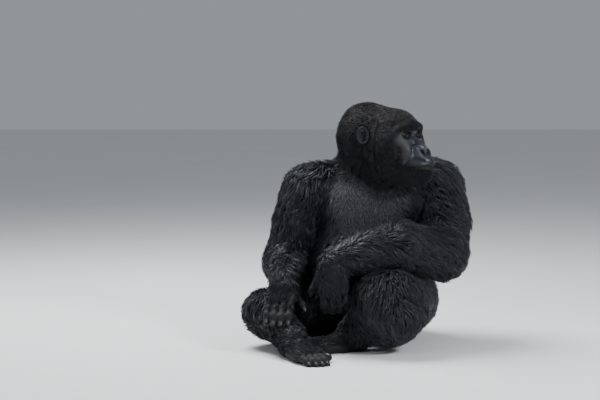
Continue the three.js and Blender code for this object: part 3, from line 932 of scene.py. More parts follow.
    def lie(self, points: Array, shares: dict[Region, Array]) -> Array:
        """The way the hair lies, before it is laid on the skin: each region's own way, mixed by its share.

        Args:
            points: Points in the body's frame.
            shares: How much each region counts.

        Returns:
            One direction per point.
        """
        total = np.zeros((len(points), 3), np.float32)
        for region, share in shares.items():
            if region is Region.HEAD:
                way = self.head_pose.turn(self.head.flow(self.head_pose.into(points)))
            elif region is Region.THIGH_LEFT:
                crown = vec((96, -330, 330))
                way = unit(0.8 * unit(points - crown) + vec(self.flows[region]) * 0.5)
            elif region is Region.TRUNK:
                apart = np.stack([0.0016 * (points[:, 0] - 10), 0 * points[:, 0], 0 * points[:, 0]], 1)
                way = unit(vec(self.flows[region]) + apart)
            else:
                way = np.broadcast_to(vec(self.flows[region]), points.shape)
            total += share[:, None] * way
        return unit(total)


def drift(points: Array, length: float, seed: int, count: int = 5) -> Array:
    """Smooth noise as a vector: for each axis the mean of a few sine waves of random direction and phase.

    Args:
        points: Points in the body's frame.
        length: The waves' length.
        seed: Which waves.
        count: How many waves are added.

    Returns:
        One vector per point, about -1 to 1 along each axis.
    """
    random = np.random.default_rng(seed)
    ways = unit(random.normal(size=(3, count, 3))).astype(np.float32) * (2 * math.pi / length)
    ways = ways * random.uniform(0.6, 1.6, (3, count, 1)).astype(np.float32)
    phases = random.uniform(0, 2 * math.pi, (3, count)).astype(np.float32)
    return np.stack([np.sin(points @ ways[axis].T + phases[axis]).mean(1) * 1.6 for axis in range(3)], 1)


# ---- meshes ----
class Maker:
    """Turns arrays into objects in the row's frame."""

    def __init__(self, origin: Array) -> None:
        """Keeps where the animal's own origin lies in the row's frame, in millimetres."""
        self.origin = origin

    def place(self, points: Array) -> Array:
        """Points of the body in metres in the row's frame."""
        return ((points + self.origin) * MILLIMETRE).astype(np.float32)

    def mesh(self, name: str, points: Array, faces: Array, smooth: bool = True) -> Thing:
        """An object from points in millimetres and faces of three or four corners.

        Args:
            name: The object's name.
            points: Points in the body's frame.
            faces: Corner numbers, one face per row.
            smooth: Whether the faces are shaded smooth.

        Returns:
            The new object, linked to the scene.
        """
        data = bpy.data.meshes.new(name)
        sides = faces.shape[1]
        data.vertices.add(len(points))
        data.vertices.foreach_set("co", self.place(points).ravel())
        data.loops.add(faces.size)
        data.loops.foreach_set("vertex_index", faces.ravel().astype(np.int32))
        data.polygons.add(len(faces))
        data.polygons.foreach_set("loop_start", np.arange(0, faces.size, sides, dtype=np.int32))
        data.polygons.foreach_set("loop_total", np.full(len(faces), sides, np.int32))
        data.polygons.foreach_set("use_smooth", np.full(len(faces), smooth))
        data.update(calc_edges=True)
        data.validate()
        thing = bpy.data.objects.new(name, data)
        bpy.context.scene.collection.objects.link(thing)
        return thing

    @staticmethod
    def paint(thing: Thing, name: str, values: Array) -> None:
        """Puts one colour per vertex into a named attribute."""
        layer = thing.data.color_attributes.new(name, "FLOAT_COLOR", "POINT")
        layer.data.foreach_set(
            "color", np.concatenate([values, np.ones((len(values), 1))], 1).astype(np.float32).ravel()
        )

    @staticmethod
    def map(thing: Thing, name: str, places: Array) -> None:
        """Makes a UV map from one place per vertex.

        Args:
            thing: The object.
            name: The map's name.
            places: One place per vertex.
        """
        corners = np.zeros(len(thing.data.loops), np.int32)
        thing.data.loops.foreach_get("vertex_index", corners)
        layer = thing.data.uv_layers.new(name=name)
        layer.uv.foreach_set("vector", places[corners].astype(np.float32).ravel())

    @staticmethod
    def points(thing: Thing) -> Array:
        """The vertices of an object in metres.

        Args:
            thing: The object.

        Returns:
            One vertex per row.
        """
        found = np.zeros(len(thing.data.vertices) * 3, np.float32)
        thing.data.vertices.foreach_get("co", found)
        return found.reshape(-1, 3)

    def body_points(self, thing: Thing) -> Array:
        """The vertices of an object in millimetres in the body's frame."""
        return self.points(thing) / MILLIMETRE - self.origin


# ---- finishes ----
class Graph:
    """Short ways to build a material's nodes."""

    def __init__(self, name: str) -> None:
        """Starts a material that holds only its Principled shader.

        Args:
            name: The material's name.
        """
        self.material = bpy.data.materials.new(name)
        self.material.use_nodes = True
        self.nodes = self.material.node_tree.nodes
        self.links = self.material.node_tree.links
        self.shader = self.nodes["Principled BSDF"]

    def node(self, kind: str, **settings: float | str) -> bpy.types.Node:
        """A node with its own settings and, by name, the values of its sockets.

        Args:
            kind: The node's type.
            **settings: The node's own settings, and the values of its sockets.

        Returns:
            The new node.
        """
        made = self.nodes.new(kind)
        for name, value in settings.items():
            if hasattr(made, name):
                setattr(made, name, value)
            else:
                made.inputs[name.replace("_", " ").title()].default_value = value
        return made

    def join(self, source: Socket, target: Socket) -> None:
        """Links two sockets."""
        self.links.new(source, target)

    def feed(self, name: str, source: Socket) -> None:
        """Links a socket to one of the shader's own."""
        self.links.new(source, self.shader.inputs[name])

    def fix(self, name: str, value: float | tuple[float, ...]) -> None:
        """Sets one of the shader's own sockets."""
        self.shader.inputs[name].default_value = value

    def math(self, operation: str, first: Socket | float, second: Socket | float) -> Socket:
        """A Math node of two sockets or numbers.

        Args:
            operation: What the node does.
            first: Its first socket or number.
            second: Its second.

        Returns:
            The result.
        """
        made = self.node("ShaderNodeMath", operation=operation)
        for socket, value in zip(made.inputs, (first, second)):
            if isinstance(value, (int, float)):
                socket.default_value = value
            else:
                self.join(value, socket)
        return made.outputs[0]

    def noise(self, vector: Socket, scale: float, detail: float = 4.0) -> Socket:
        """Noise over a vector.

        Args:
            vector: Where the noise is read.
            scale: How fine it is.
            detail: How many finer layers it has.

        Returns:
            The noise, 0 to 1.
        """
        made = self.node("ShaderNodeTexNoise", Scale=scale, Detail=detail)
        self.join(vector, made.inputs["Vector"])
        return made.outputs["Fac"]

    def stretch(self, vector: Socket, scale: Point) -> Socket:
        """A vector scaled along its three axes.

        Args:
            vector: The vector.
            scale: The factor along each axis.

        Returns:
            The scaled vector.
        """
        made = self.node("ShaderNodeMapping")
        made.inputs["Scale"].default_value = scale
        self.join(vector, made.inputs["Vector"])
        return made.outputs["Vector"]

    def remap(self, value: Socket, low: float, high: float, to_low: float, to_high: float) -> Socket:
        """A value carried from one range to another and kept in it.

        Args:
            value: The value.
            low: The low end of its range.
            high: The high end.
            to_low: The low end of the new range.
            to_high: The high end.

        Returns:
            The new value.
        """
        made = self.node("ShaderNodeMapRange")
        for socket, number in zip(list(made.inputs)[1:5], (low, high, to_low, to_high)):
            socket.default_value = number
        self.join(value, made.inputs["Value"])
        return made.outputs["Result"]

    def scaled(self, colour: Socket, factor: Socket) -> Socket:
        """A colour times a factor.

        Args:
            colour: The colour.
            factor: The factor.

        Returns:
            The new colour.
        """
        made = self.node("ShaderNodeVectorMath", operation="SCALE")
        self.join(colour, made.inputs[0])
        self.join(factor, made.inputs["Scale"])
        return made.outputs["Vector"]

    def bump(self, height: Socket, strength: float, distance: float, under: Socket | None = None) -> Socket:
        """A bump of a height, over another bump if one is given.

        Args:
            height: The height.
            strength: How strongly it shows.
            distance: What a height of one stands for, in metres.
            under: The other bump's normal, or None.

        Returns:
            The new normal.
        """
        made = self.node("ShaderNodeBump", Strength=strength, Distance=distance)
        self.join(height, made.inputs["Height"])
        if under is not None:
            self.join(under, made.inputs["Normal"])
        return made.outputs["Normal"]


@dataclass(frozen=True)
class CoatFinish:
    """Hair: the tuft's own tint, streaked along its length, with a cool sheen."""

    name: str = "coat_hair"
    roughness: tuple[float, float] = (0.36, 0.56)
    sheen: float = 0.07
    gloss: float = 0.4

    def make(self) -> Material:
        """Builds the material.

        Returns:
            The material.
        """
        graph = Graph(self.name)
        tint = graph.node("ShaderNodeAttribute", attribute_name="tint")
        strand = graph.node("ShaderNodeUVMap", uv_map="Strand")
        streak = graph.noise(graph.stretch(strand.outputs["UV"], (9.0, 1.2, 1.0)), 1.0, 3.0)
        graph.feed("Base Color", graph.scaled(tint.outputs["Color"], graph.remap(streak, 0.3, 0.7, 0.55, 1.6)))
        graph.feed("Roughness", graph.remap(streak, 0.3, 0.7, *self.roughness))
        graph.feed("Normal", graph.bump(streak, 0.5, 0.0006))
        graph.fix("Sheen Weight", self.sheen)
        graph.fix("Sheen Roughness", 0.35)
        graph.fix("Specular IOR Level", self.gloss)
        graph.fix("Sheen Tint", (0.72, 0.80, 1.0, 1.0))
        return graph.material


@dataclass(frozen=True)
class SkinFinish:
    """Bare skin: pores and fine wrinkles, a slight oily gloss, and a dull felt where the coat grows."""

    name: str = "bare_skin"

    def make(self) -> Material:
        """Builds the material.

        Returns:
            The material.
        """
        graph = Graph(self.name)
        tint = graph.node("ShaderNodeAttribute", attribute_name="tint")
        place = graph.node("ShaderNodeTexCoord").outputs["Object"]
        mottle = graph.noise(place, 55.0, 5.0)
        pores = graph.node("ShaderNodeTexVoronoi", Scale=520.0)
        graph.join(place, pores.inputs["Vector"])
        cracks = graph.node("ShaderNodeTexVoronoi", feature="DISTANCE_TO_EDGE", Scale=300.0)
        graph.join(graph.stretch(place, (1.0, 1.0, 1.7)), cracks.inputs["Vector"])
        crack = graph.remap(cracks.outputs["Distance"], 0.0, 0.12, 0.0, 1.0)
        graph.feed("Base Color", graph.scaled(tint.outputs["Color"], graph.remap(mottle, 0.3, 0.7, 0.78, 1.25)))
        shine = graph.node("ShaderNodeAttribute", attribute_name="shine")
        dull = graph.remap(shine.outputs["Fac"], 0.0, 1.0, 0.5, 0.0)
        graph.feed("Roughness", graph.math("ADD", graph.remap(mottle, 0.3, 0.7, 0.27, 0.41), dull))
        base = graph.bump(graph.noise(place, 190.0, 7.0), 0.34, 0.0013)
        lined = graph.bump(crack, 0.10, 0.0004, base)
        graph.feed("Normal", graph.bump(pores.outputs["Distance"], 0.12, 0.0004, lined))
        graph.fix("Specular IOR Level", 0.36)
        return graph.material


@dataclass(frozen=True)
class EyeFinish:
    """A wet eye: black pupil, brown iris with fine rays, and a dark brown white."""

    name: str = "eye_wet"

    def make(self) -> Material:
        """Builds the material from the eye's own map: V runs from the middle of the pupil, U round it.

        Returns:
            The material.
        """
        graph = Graph(self.name)
        place = graph.node("ShaderNodeUVMap", uv_map="Iris").outputs["UV"]
        parts = graph.node("ShaderNodeSeparateXYZ")
        graph.join(place, parts.inputs[0])
        rays = graph.noise(graph.stretch(place, (60.0, 3.0, 1.0)), 1.0, 2.0)
        colours = graph.node("ShaderNodeValToRGB")
        stops = colours.color_ramp.elements
        stops[0].position, stops[0].color = 0.0, (0.001, 0.001, 0.001, 1)
        stops[1].position, stops[1].color = 0.105, (0.001, 0.001, 0.001, 1)
        for at, colour in (
            (0.12, (0.014, 0.007, 0.004, 1)),
            (0.2, (0.022, 0.011, 0.006, 1)),
            (0.235, (0.006, 0.003, 0.002, 1)),
            (0.27, (0.020, 0.012, 0.009, 1)),
            (0.6, (0.014, 0.009, 0.007, 1)),
        ):
            stop = stops.new(at)
            stop.color = colour
        graph.join(parts.outputs["Y"], colours.inputs[0])
        graph.feed("Base Color", graph.scaled(colours.outputs["Color"], graph.remap(rays, 0.3, 0.7, 0.6, 1.5)))
        graph.feed("Roughness", graph.remap(rays, 0.0, 1.0, 0.04, 0.09))
        graph.fix("Specular IOR Level", 0.0)
        graph.fix("Coat Weight", 0.8)
        graph.fix("Coat IOR", 1.38)
        graph.fix("Coat Roughness", 0.02)
        return graph.material


@dataclass(frozen=True)
class NailFinish:
    """Dark horn with fine ridges along the nail."""

    name: str = "nail_horn"

    def make(self) -> Material:
        """Builds the material from the nail's own map: V runs from its root to its edge.

        Returns:
            The material.
        """
        graph = Graph(self.name)
        place = graph.node("ShaderNodeUVMap", uv_map="Nail").outputs["UV"]
        ridges = graph.noise(graph.stretch(place, (14.0, 1.0, 1.0)), 1.0, 3.0)
        colours = graph.node("ShaderNodeValToRGB")
        stops = colours.color_ramp.elements
        stops[0].color, stops[1].color = (0.010, 0.008, 0.008, 1), (0.028, 0.024, 0.023, 1)
        graph.join(ridges, colours.inputs[0])
        graph.feed("Base Color", colours.outputs["Color"])
        graph.feed("Roughness", graph.remap(ridges, 0.3, 0.7, 0.38, 0.55))
        graph.feed("Normal", graph.bump(ridges, 0.4, 0.0004))
        return graph.material


@dataclass(frozen=True)
class FloorFinish:
    """A pale matt floor with a very slight unevenness."""

    name: str = "pale_floor"

    def make(self) -> Material:
        """Builds the material.

        Returns:
            The material.
        """
        graph = Graph(self.name)
        place = graph.node("ShaderNodeTexCoord").outputs["Object"]
        colours = graph.node("ShaderNodeValToRGB")
        stops = colours.color_ramp.elements
        stops[0].color, stops[1].color = (0.78, 0.775, 0.76, 1), (0.84, 0.835, 0.82, 1)
        graph.join(graph.noise(place, 1.4, 5.0), colours.inputs[0])
        graph.feed("Base Color", colours.outputs["Color"])
        graph.fix("Roughness", 0.85)
        return graph.material


# ---- markings ----
class Markings:
    """The colours that skin and coat share."""

    chest = (0.080, 0.077, 0.084)
    saddle = (0.070, 0.071, 0.076)
    crown = (0.0085, 0.0062, 0.0056)
    # a painted bluish-grey highlight for the light on the tops of the shoulders
    shoulder_highlight = (0.026, 0.028, 0.036)
    face = (0.0185, 0.0195, 0.0255)
    palm = (0.0045, 0.0043, 0.0050)

    def __init__(self, body: Body) -> None:
        """Keeps the body whose regions the colours go by."""
        self.body = body

    def coat(self, points: Array, shares: dict[Region, Array]) -> Array:
        """The hair's colour: each region's tone, pale chest, grey saddle, brown crown and a painted highlight on the
        tops of the shoulders.

        Args:
            points: Points in the body's frame.
            shares: How much each region counts.

        Returns:
            One linear colour per point.
        """
        colour = sum(share[:, None] * vec(PELTS[region].tone) for region, share in shares.items())
        local = self.body.head_pose.into(points)
        crown = shares[Region.HEAD] * ramp(local[:, 2], 20, 62) * ramp(100 - local[:, 1], 0, 80)
        saddle = shares[Region.TRUNK] * ramp(points[:, 1], 90, 170) * ramp(points[:, 2], 120, 240)
        saddle = saddle * ramp(560 - points[:, 2], 0, 90)
        # painted highlight: the tops of the upper arms are mixed halfway towards a pale bluish grey, as lit from above
        shoulder_highlight = (shares[Region.ARM_RIGHT] + shares[Region.ARM_LEFT]) * ramp(points[:, 2], 560, 670)
        for weight, tone in (
            (self.body.chest(points, shares), self.chest),
            (saddle * 0.8, self.saddle),
            (crown, self.crown),
            (shoulder_highlight * 0.5, self.shoulder_highlight),
        ):
            colour = colour + weight[:, None] * (vec(tone) - colour)
        return colour

    def skin(self, points: Array, shares: dict[Region, Array]) -> Array:
        """The skin's colour: slate on the face with painted shade and highlights, near black on the palms, and the
        coat's colour, darker, under the hair.

        Args:
            points: Points in the body's frame.
            shares: How much each region counts.

        Returns:
            One linear colour per point.
        """
        colour = self.coat(points, shares) * 0.45
        local = self.body.head_pose.into(points)
        # painted shade and highlight: the face is darker in its creases and lighter on its ridges, by the folds' rise
        folds = np.clip(1 + 0.13 * self.body.head.folds(local), 0.35, 1.5)
        forward = -local[:, 1]
        # painted shade: the band of the lips is darker, along the mouth line
        lips = ramp(forward, 135, 175) * ramp(-local[:, 2], 98, 106) * ramp(local[:, 2] + 138, 0, 10)
        near = to_left(local)
        # painted shade: darker round each eye and, from the eyes up, under the brow, where it is partly the brow's own
        # darker skin
        eye_shade = ramp(25 - np.linalg.norm(near - vec(self.body.head.eye), axis=1), 0, 8)
        socket = ramp(local[:, 2], -12, 2)
        # painted highlights: lighter under the eyes and on the nose's top and wings
        highlight_spots = ((34, -160, -26), (14, -204, -42), (34, -200, -52))
        painted_highlight = sum(np.exp(-((near - vec(spot)) ** 2).sum(1) / 300) for spot in highlight_spots)
        shade = folds * (1 - 0.72 * lips) * (1 - 0.6 * np.maximum(eye_shade, socket)) * (1 + 1.1 * painted_highlight)
        face = vec(self.face) * shade[:, None]
        # painted shade: darker in the ear's bowl, on the outer cheeks and on the bare skin further back on the head
        bowl = np.exp(-((near - vec(self.body.head.ear)) ** 2).sum(1) / 240)
        cheek = ramp(near[:, 0], 44, 84) * ramp(forward, 40, 100)
        behind = ramp(local[:, 1], -70, -40)
        face = face * ((1 - 0.55 * bowl) * (1 - 0.5 * cheek) * (1 - 0.35 * behind))[:, None]
        bare = self.body.head.bare(local) * ramp(shares[Region.HEAD], 0.3, 0.7)
        colour = colour + bare[:, None] * (face - colour)
        for region, paw in self.body.paws.items():
            share = shares[region] * paw.bare(paw.pose().into(points))
            colour = colour + share[:, None] * (vec(self.palm) - colour)
        return colour


# ---- the skin ----
@dataclass
class Skin:
    """One skin for all the flesh: a coarse body joined with finer head, hands and feet."""

    body: Body
    maker: Maker
    markings: Markings
    cell: float = 11.5

    def build(self) -> Thing:
        """Meshes the body and its zones, joins them into one closed surface and colours it.

        Returns:
            The skin.
        """
        still = Pose(vec((0, 0, 0)), np.eye(3, dtype=np.float32))
        skin = self._shell("skin", still, (-480, -660, -20), (420, 280, 940), self.cell, None)
        for zone in (*ZONES, FACE, *EARS):
            pose = self.body.head_pose if zone.region is Region.HEAD else self.body.paws[zone.region].pose()
            self._unite(skin, self._shell(zone.name, pose, zone.low, zone.high, zone.cell, zone))
            LOG.info("%s joined: %d faces", zone.name, len(skin.data.polygons))
        self._clean(skin)
        self.dress(skin)
        return skin

    def _shell(self, name: str, pose: Pose, low: Point, high: Point, cell: float, zone: Zone | None) -> Thing:
        """Samples the skin's distance on a grid of cells and draws the surface where it is zero.

        A rough grid finds the cells near the surface, and the distance is worked out in full only there.

        Args:
            name: The object's name.
            pose: The frame that the grid stands in.
            low: The grid's lowest corner in that frame.
            high: Its highest corner.
            cell: The side of a cell.
            zone: The zone to mesh, or None for the body.

        Returns:
            A closed mesh of quads.
        """
        low, skip = vec(low), 4 if zone is not None else 3
        counts = np.ceil((vec(high) - low) / cell).astype(int)
        rough_counts = np.ceil(counts / skip).astype(int) + 1
        rough = np.indices(rough_counts).reshape(3, -1).T.astype(np.float32) * (cell * skip) + low
        values = self._measure(pose, rough, zone).reshape(rough_counts)
        for axis in range(3):
            place = np.arange(counts[axis], dtype=np.float32) / skip
            lower = place.astype(int)
            share = (place - lower).reshape([-1 if i == axis else 1 for i in range(3)])
            values = values.take(lower, axis) * (1 - share) + values.take(lower + 1, axis) * share
        near = np.abs(values) < cell * skip + 7
        values[near] = self._measure(pose, np.argwhere(near).astype(np.float32) * cell + low, zone)
        band = 4 * cell
        volume = openvdb.FloatGrid(band)
        volume.copyFromArray(np.clip(values, -band, band).astype(np.float32))
        points, quads = volume.convertToQuads(0.0)
        return self.maker.mesh(name, pose.out(points * cell + low), quads)

    def _measure(self, pose: Pose, points: Array, zone: Zone | None) -> Array:
        """The skin's distance for points of a frame, worked out in blocks."""
        blocks = [points[start:start + BLOCK] for start in range(0, len(points), BLOCK)]
        return np.concatenate([self.body.skin(pose.out(block), zone) for block in blocks])

    @staticmethod
    def _unite(skin: Thing, piece: Thing) -> None:
        """Joins a zone's closed shell to the skin, and drops what lies inside.

        Args:
            skin: The skin so far.
            piece: The zone's closed shell, which is used up.
        """
        union = skin.modifiers.new("union", "BOOLEAN")
        union.operation, union.solver, union.object = "UNION", "MANIFOLD", piece
        bpy.context.view_layer.update()
        found = skin.evaluated_get(bpy.context.evaluated_depsgraph_get())
        data = bpy.data.meshes.new_from_object(found)
        skin.modifiers.clear()
        skin.data = data
        bpy.data.objects.remove(piece, do_unlink=True)

    @staticmethod
    def _clean(skin: Thing) -> None:
        """Merges the slivers that the joins leave, and shades the faces smooth.

        Args:
            skin: The joined skin.
        """
        bpy.context.view_layer.objects.active = skin
        merge = skin.modifiers.new("merge", "WELD")
        merge.merge_threshold = 0.0006
        data = bpy.data.meshes.new_from_object(skin.evaluated_get(bpy.context.evaluated_depsgraph_get()))
        skin.modifiers.clear()
        skin.data = data
        skin.data.polygons.foreach_set("use_smooth", np.ones(len(data.polygons), bool))

    def dress(self, skin: Thing) -> None:
        """Colours the skin and gives it its finish.

        Args:
            skin: The finished skin.
        """
        points = self.maker.body_points(skin)
        shares = self.body.shares(self.body.regions(points))
        Maker.paint(skin, "tint", self.markings.skin(points, shares))
        local = self.body.head_pose.into(points)
        front = (0.35 + 0.65 * ramp(-local[:, 1], 40, 70)) * (1 - 0.55 * ramp(np.abs(local[:, 0]), 42, 66))
        lips = ramp(-local[:, 2], 100, 106) * ramp(-local[:, 1], 120, 160)
        gloss = 0.85 * front * (1 - 0.8 * lips) * self.body.head.bare(local)
        shine = 0.15 + gloss * ramp(shares[Region.HEAD], 0.3, 0.7)
        Maker.paint(skin, "shine", np.repeat(shine[:, None], 3, 1))
        skin.data.materials.clear()
        skin.data.materials.append(SkinFinish().make())


# ---- the coat ----
@dataclass
class Tufts:
    """The roots of many tufts with their sizes: one row per tuft."""

    roots: Array
    normals: Array
    ways: Array
    length: Array
    depth: Array
    width: Array
    gather: Array
    wave: Array
    tint: Array
    region: Array
    even: Array


@dataclass
class Coat:
    """The coat: tufts rooted in the skin that lie along the body, gather into locks and end at the outline."""

    body: Body
    maker: Maker
    markings: Markings
    long_tufts: int = 62000
    short_tufts: int = 44000
    limit: int = 190000
    root_sink: float = 1.5
    most_shift: float = 14
    clearance: float = 1.2
    flatness: float = 0.55
    gatherings: tuple[tuple[int, float], ...] = ((44, 0.4), (6, 0.95))
    shade_spreads: tuple[float, float] = (0.42, 0.25)
    pale_share: float = 0.05
    pale_gain: float = 2.2
    root_shade: float = 0.40
    short_regions: tuple[Region, ...] = (
        Region.HEAD, Region.HAND_LEFT, Region.HAND_RIGHT, Region.FOOT_LEFT, Region.FOOT_RIGHT
    )

    def build(self, skin: Thing) -> list[Thing]:
        """Roots the tufts in the skin and builds them in pieces.

        Args:
            skin: The skin that the coat grows on.

        Returns:
            The coat's pieces.
        """
        tufts = self._root(skin)
        chest = (tufts.even > 0.45) & np.isin(tufts.region, [Region.TRUNK.value, Region.NECK.value])
        groups = {
            "coat_chest": (Region.TRUNK, Region.NECK),
            "coat_head": (Region.HEAD,),
            "coat_trunk": (Region.TRUNK, Region.NECK),
            "coat_arm_right": (Region.ARM_RIGHT, Region.FOREARM_RIGHT),
            "coat_arm_left": (Region.ARM_LEFT, Region.FOREARM_LEFT),
            "coat_leg_right": (Region.THIGH_RIGHT, Region.SHIN_RIGHT),
            "coat_leg_left": (Region.THIGH_LEFT, Region.SHIN_LEFT),
            "coat_paws": (Region.HAND_LEFT, Region.HAND_RIGHT, Region.FOOT_LEFT, Region.FOOT_RIGHT),
        }
        finishes = {
            "coat_chest": CoatFinish("chest_hair").make(),
            "coat_head": CoatFinish("head_hair", roughness=(0.46, 0.66), sheen=0.04, gloss=0.22).make(),
        }
        body_finish = CoatFinish().make()
        pieces = []
        for name, regions in groups.items():
            within = np.isin(tufts.region, [region.value for region in regions])
            chosen = np.flatnonzero(within & (chest == (name == "coat_chest")))
            short = regions[0] in self.short_regions
            most = self.limit // (10 if short else 16)
            parts = max(1, math.ceil(len(chosen) / most))
            for part, rows in enumerate(np.array_split(chosen[np.argsort(tufts.roots[chosen, 2])], parts)):
                piece = self._piece(f"{name}_{part + 1}", tufts, rows, short)
                piece.data.materials.append(finishes.get(name, body_finish))
                pieces.append(piece)
        return pieces

    def _root(self, skin: Thing) -> Tufts:
        """Spreads roots over the skin by area and density, and gives each its sizes and way.

        Args:
            skin: The skin.

        Returns:
            All tufts.
        """
        random = np.random.default_rng(SEED)
        data = skin.data
        data.calc_loop_triangles()
        corners = np.zeros(len(data.loop_triangles) * 3, np.int32)
        data.loop_triangles.foreach_get("vertices", corners)
        corners = corners.reshape(-1, 3)
        points = self.maker.body_points(skin)
        normals = np.zeros(len(data.vertices) * 3, np.float32)
        data.vertices.foreach_get("normal", normals)
        normals = normals.reshape(-1, 3)
        middle = points[corners].mean(1)
        cross = np.cross(points[corners[:, 1]] - points[corners[:, 0]], points[corners[:, 2]] - points[corners[:, 0]])
        area = np.linalg.norm(cross, axis=1) / 2
        parts = self.body.regions(middle)
        shares = self.body.shares(parts)
        label = np.argmin(np.stack([parts[region] for region in Region]), axis=0)
        cover = self._cover(middle, shares)
        hidden = (unit(cross)[:, 2] < -0.7) & (middle[:, 2] < 14)
        amount = area * cover * sum(shares[region] * PELTS[region].density for region in Region) * ~hidden
        front = shares[Region.HEAD] * (1 - self.body.head.fullness(self.body.head_pose.into(middle)))
        amount = amount * (1 + 1.2 * self.body.chest(middle, shares) + 1.6 * front)
        short = np.isin(label, [region.value for region in self.short_regions])
        picks = []
        for chosen, count in ((~short, self.long_tufts), (short, self.short_tufts)):
            steps = np.cumsum(amount * chosen)
            marks = (np.arange(count) + random.uniform(0, 1, count)) * steps[-1] / count
            picks.append(np.searchsorted(steps, marks).clip(0, len(steps) - 1))
        pick = np.concatenate(picks)
        spot = random.uniform(0, 1, (len(pick), 2)).astype(np.float32)
        over = spot.sum(1) > 1
        spot[over] = 1 - spot[over]
        mix = np.concatenate([1 - spot.sum(1, keepdims=True), spot], 1)[:, :, None]
        roots = (points[corners[pick]] * mix).sum(1)
        outward = unit((normals[corners[pick]] * mix).sum(1))
        return self._grow(roots, outward, label[pick], random)

    def _cover(self, points: Array, shares: dict[Region, Array]) -> Array:
        """How full the coat is: 0 on bare skin and on what the floor hides, 1 elsewhere.

        Args:
            points: Points in the body's frame.
            shares: How much each region counts.

        Returns:
            One share per point.
        """
        bare = self.body.head.bare(self.body.head_pose.into(points)) * ramp(shares[Region.HEAD], 0.2, 0.6)
        for region, paw in self.body.paws.items():
            bare = bare + shares[region] * paw.bare(paw.pose().into(points))
        return np.clip(1 - bare, 0, 1) ** 1.5

    def _grow(self, roots: Array, normals: Array, label: Array, random: np.random.Generator) -> Tufts:
        """Gives roots their sizes from the pelts of the regions round them.

        Args:
            roots: Points on the skin.
            normals: The skin's outward directions there.
            label: Each root's region.
            random: The generator in use.

        Returns:
            The tufts.
        """
        parts = self.body.regions(roots)
        shares = self.body.shares(parts)
        cover = self._cover(roots, shares)
        chest = self.body.chest(roots, shares)

        def mean(name: str) -> Array:
            """One of the pelts' numbers, mixed by share."""
            return sum(shares[region] * getattr(PELTS[region], name) for region in Region)

        fullness = 1 - shares[Region.HEAD] * (1 - self.body.head.fullness(self.body.head_pose.into(roots)))
        length = mean("length") * (0.3 + 0.7 * fullness) * (1 - 0.74 * chest)
        length = length * (0.45 + 0.55 * cover) * random.uniform(0.72, 1.22, len(roots))
        width = mean("width") * (0.7 + 0.3 * fullness) * (1 - 0.5 * chest) * random.uniform(0.7, 1.25, len(roots))
        depth = self.body.depth(roots, parts) * random.uniform(0.30, 1.06, len(roots)) + 0.6
        ways = self.body.lie(roots, shares) + 0.34 * drift(roots, 150, 3) + 0.16 * drift(roots, 46, 4)
        ways = ways + 0.10 * random.normal(size=roots.shape)
        flat = ways - (ways * normals).sum(1, keepdims=True) * normals
        turned = 1 - np.minimum(np.linalg.norm(flat, axis=1, keepdims=True), 1)
        tousle = unit(drift(roots, 26, 5)) - 0.2 * normals
        ways = flat + 0.9 * turned * np.cross(normals, unit(flat)) + 0.9 * turned**2 * tousle
        tint = self.markings.coat(roots, shares)
        return Tufts(
            roots,
            normals,
            unit(ways).astype(np.float32),
            length.astype(np.float32),
            depth.astype(np.float32),
            width.astype(np.float32),
            (mean("gather") * (1 - 0.5 * chest)).astype(np.float32),
            mean("wave").astype(np.float32),
            tint.astype(np.float32),
            label,
            chest,
        )

    def _lines(self, tufts: Tufts, rows: Array, stops: Array) -> Array:
        """The middle line of each tuft: it steps along the lie of the hair and is drawn back to its height each time.

        The height over the skin rises as d (1 - (1 - t)^2) to the tuft's own depth d: steeply, and then it lies flat.

        Args:
            tufts: All tufts.
            rows: Which of them.
            stops: Shares of the length, from 0 at the root to 1 at the tip.

        Returns:
            Points, one row per tuft and one column per stop.
        """
        here = tufts.roots[rows] - self.root_sink * tufts.normals[rows]
        line = [here]
        normal = tufts.normals[rows]
        for before, share in zip(stops, stops[1:]):
            way = tufts.ways[rows] - (tufts.ways[rows] * normal).sum(1, keepdims=True) * normal
            way = unit(way)
            there = line[-1] + way * (tufts.length[rows] * (share - before))[:, None]
            height = tufts.depth[rows] * (1 - (1 - share) ** 2)
            level = self.body.surface(there)
            normal = self.body.slope(there, level)
            shift = np.clip(height - level, -self.most_shift, self.most_shift)
            there = there + normal * shift[:, None]
            there[:, 2] = np.maximum(there[:, 2], self.clearance)
            line.append(there)
        return np.stack(line, 1)

    @staticmethod
    def _nearest(points: Array, seeds: Array) -> Array:
        """For each point the number of the nearest seed, from |a|^2 - 2ab + |b|^2 in blocks.

        Args:
            points: Points of any number of axes.
            seeds: The seeds, with the same axes.

        Returns:
            One number per point.
        """
        found = np.empty(len(points), np.int64)
        squares = (seeds * seeds).sum(1)
        for start in range(0, len(points), SEED_BLOCK):
            block = points[start:start + SEED_BLOCK]
            found[start:start + SEED_BLOCK] = np.argmin(squares - 2 * block @ seeds.T, axis=1)
        return found

    def _gathered(
        self, tufts: Tufts, rows: Array, line: Array, stops: Array, random: np.random.Generator
    ) -> tuple[Array, Array]:
        """Draws the tips of neighbouring tufts together into small locks, and those into larger ones.

        Args:
            tufts: All tufts.
            rows: Which of them.
            line: Their middle lines.
            stops: Shares of the length.
            random: The generator in use.

        Returns:
            The new lines and each tuft's lock.
        """
        feature = np.concatenate([tufts.roots[rows], 25 * tufts.normals[rows]], 1)
        lock = np.zeros(len(rows), np.int64)
        for group, strength in self.gatherings:
            seeds = random.choice(len(rows), max(1, len(rows) // group), replace=False)
            nearest = self._nearest(feature, feature[seeds])
            pull = (strength * tufts.gather[rows])[:, None] * stops[None, :] ** 1.3
            lead = line[seeds[nearest]]
            line = line + pull[:, :, None] * (lead - line)
            lock = nearest
        return line, lock

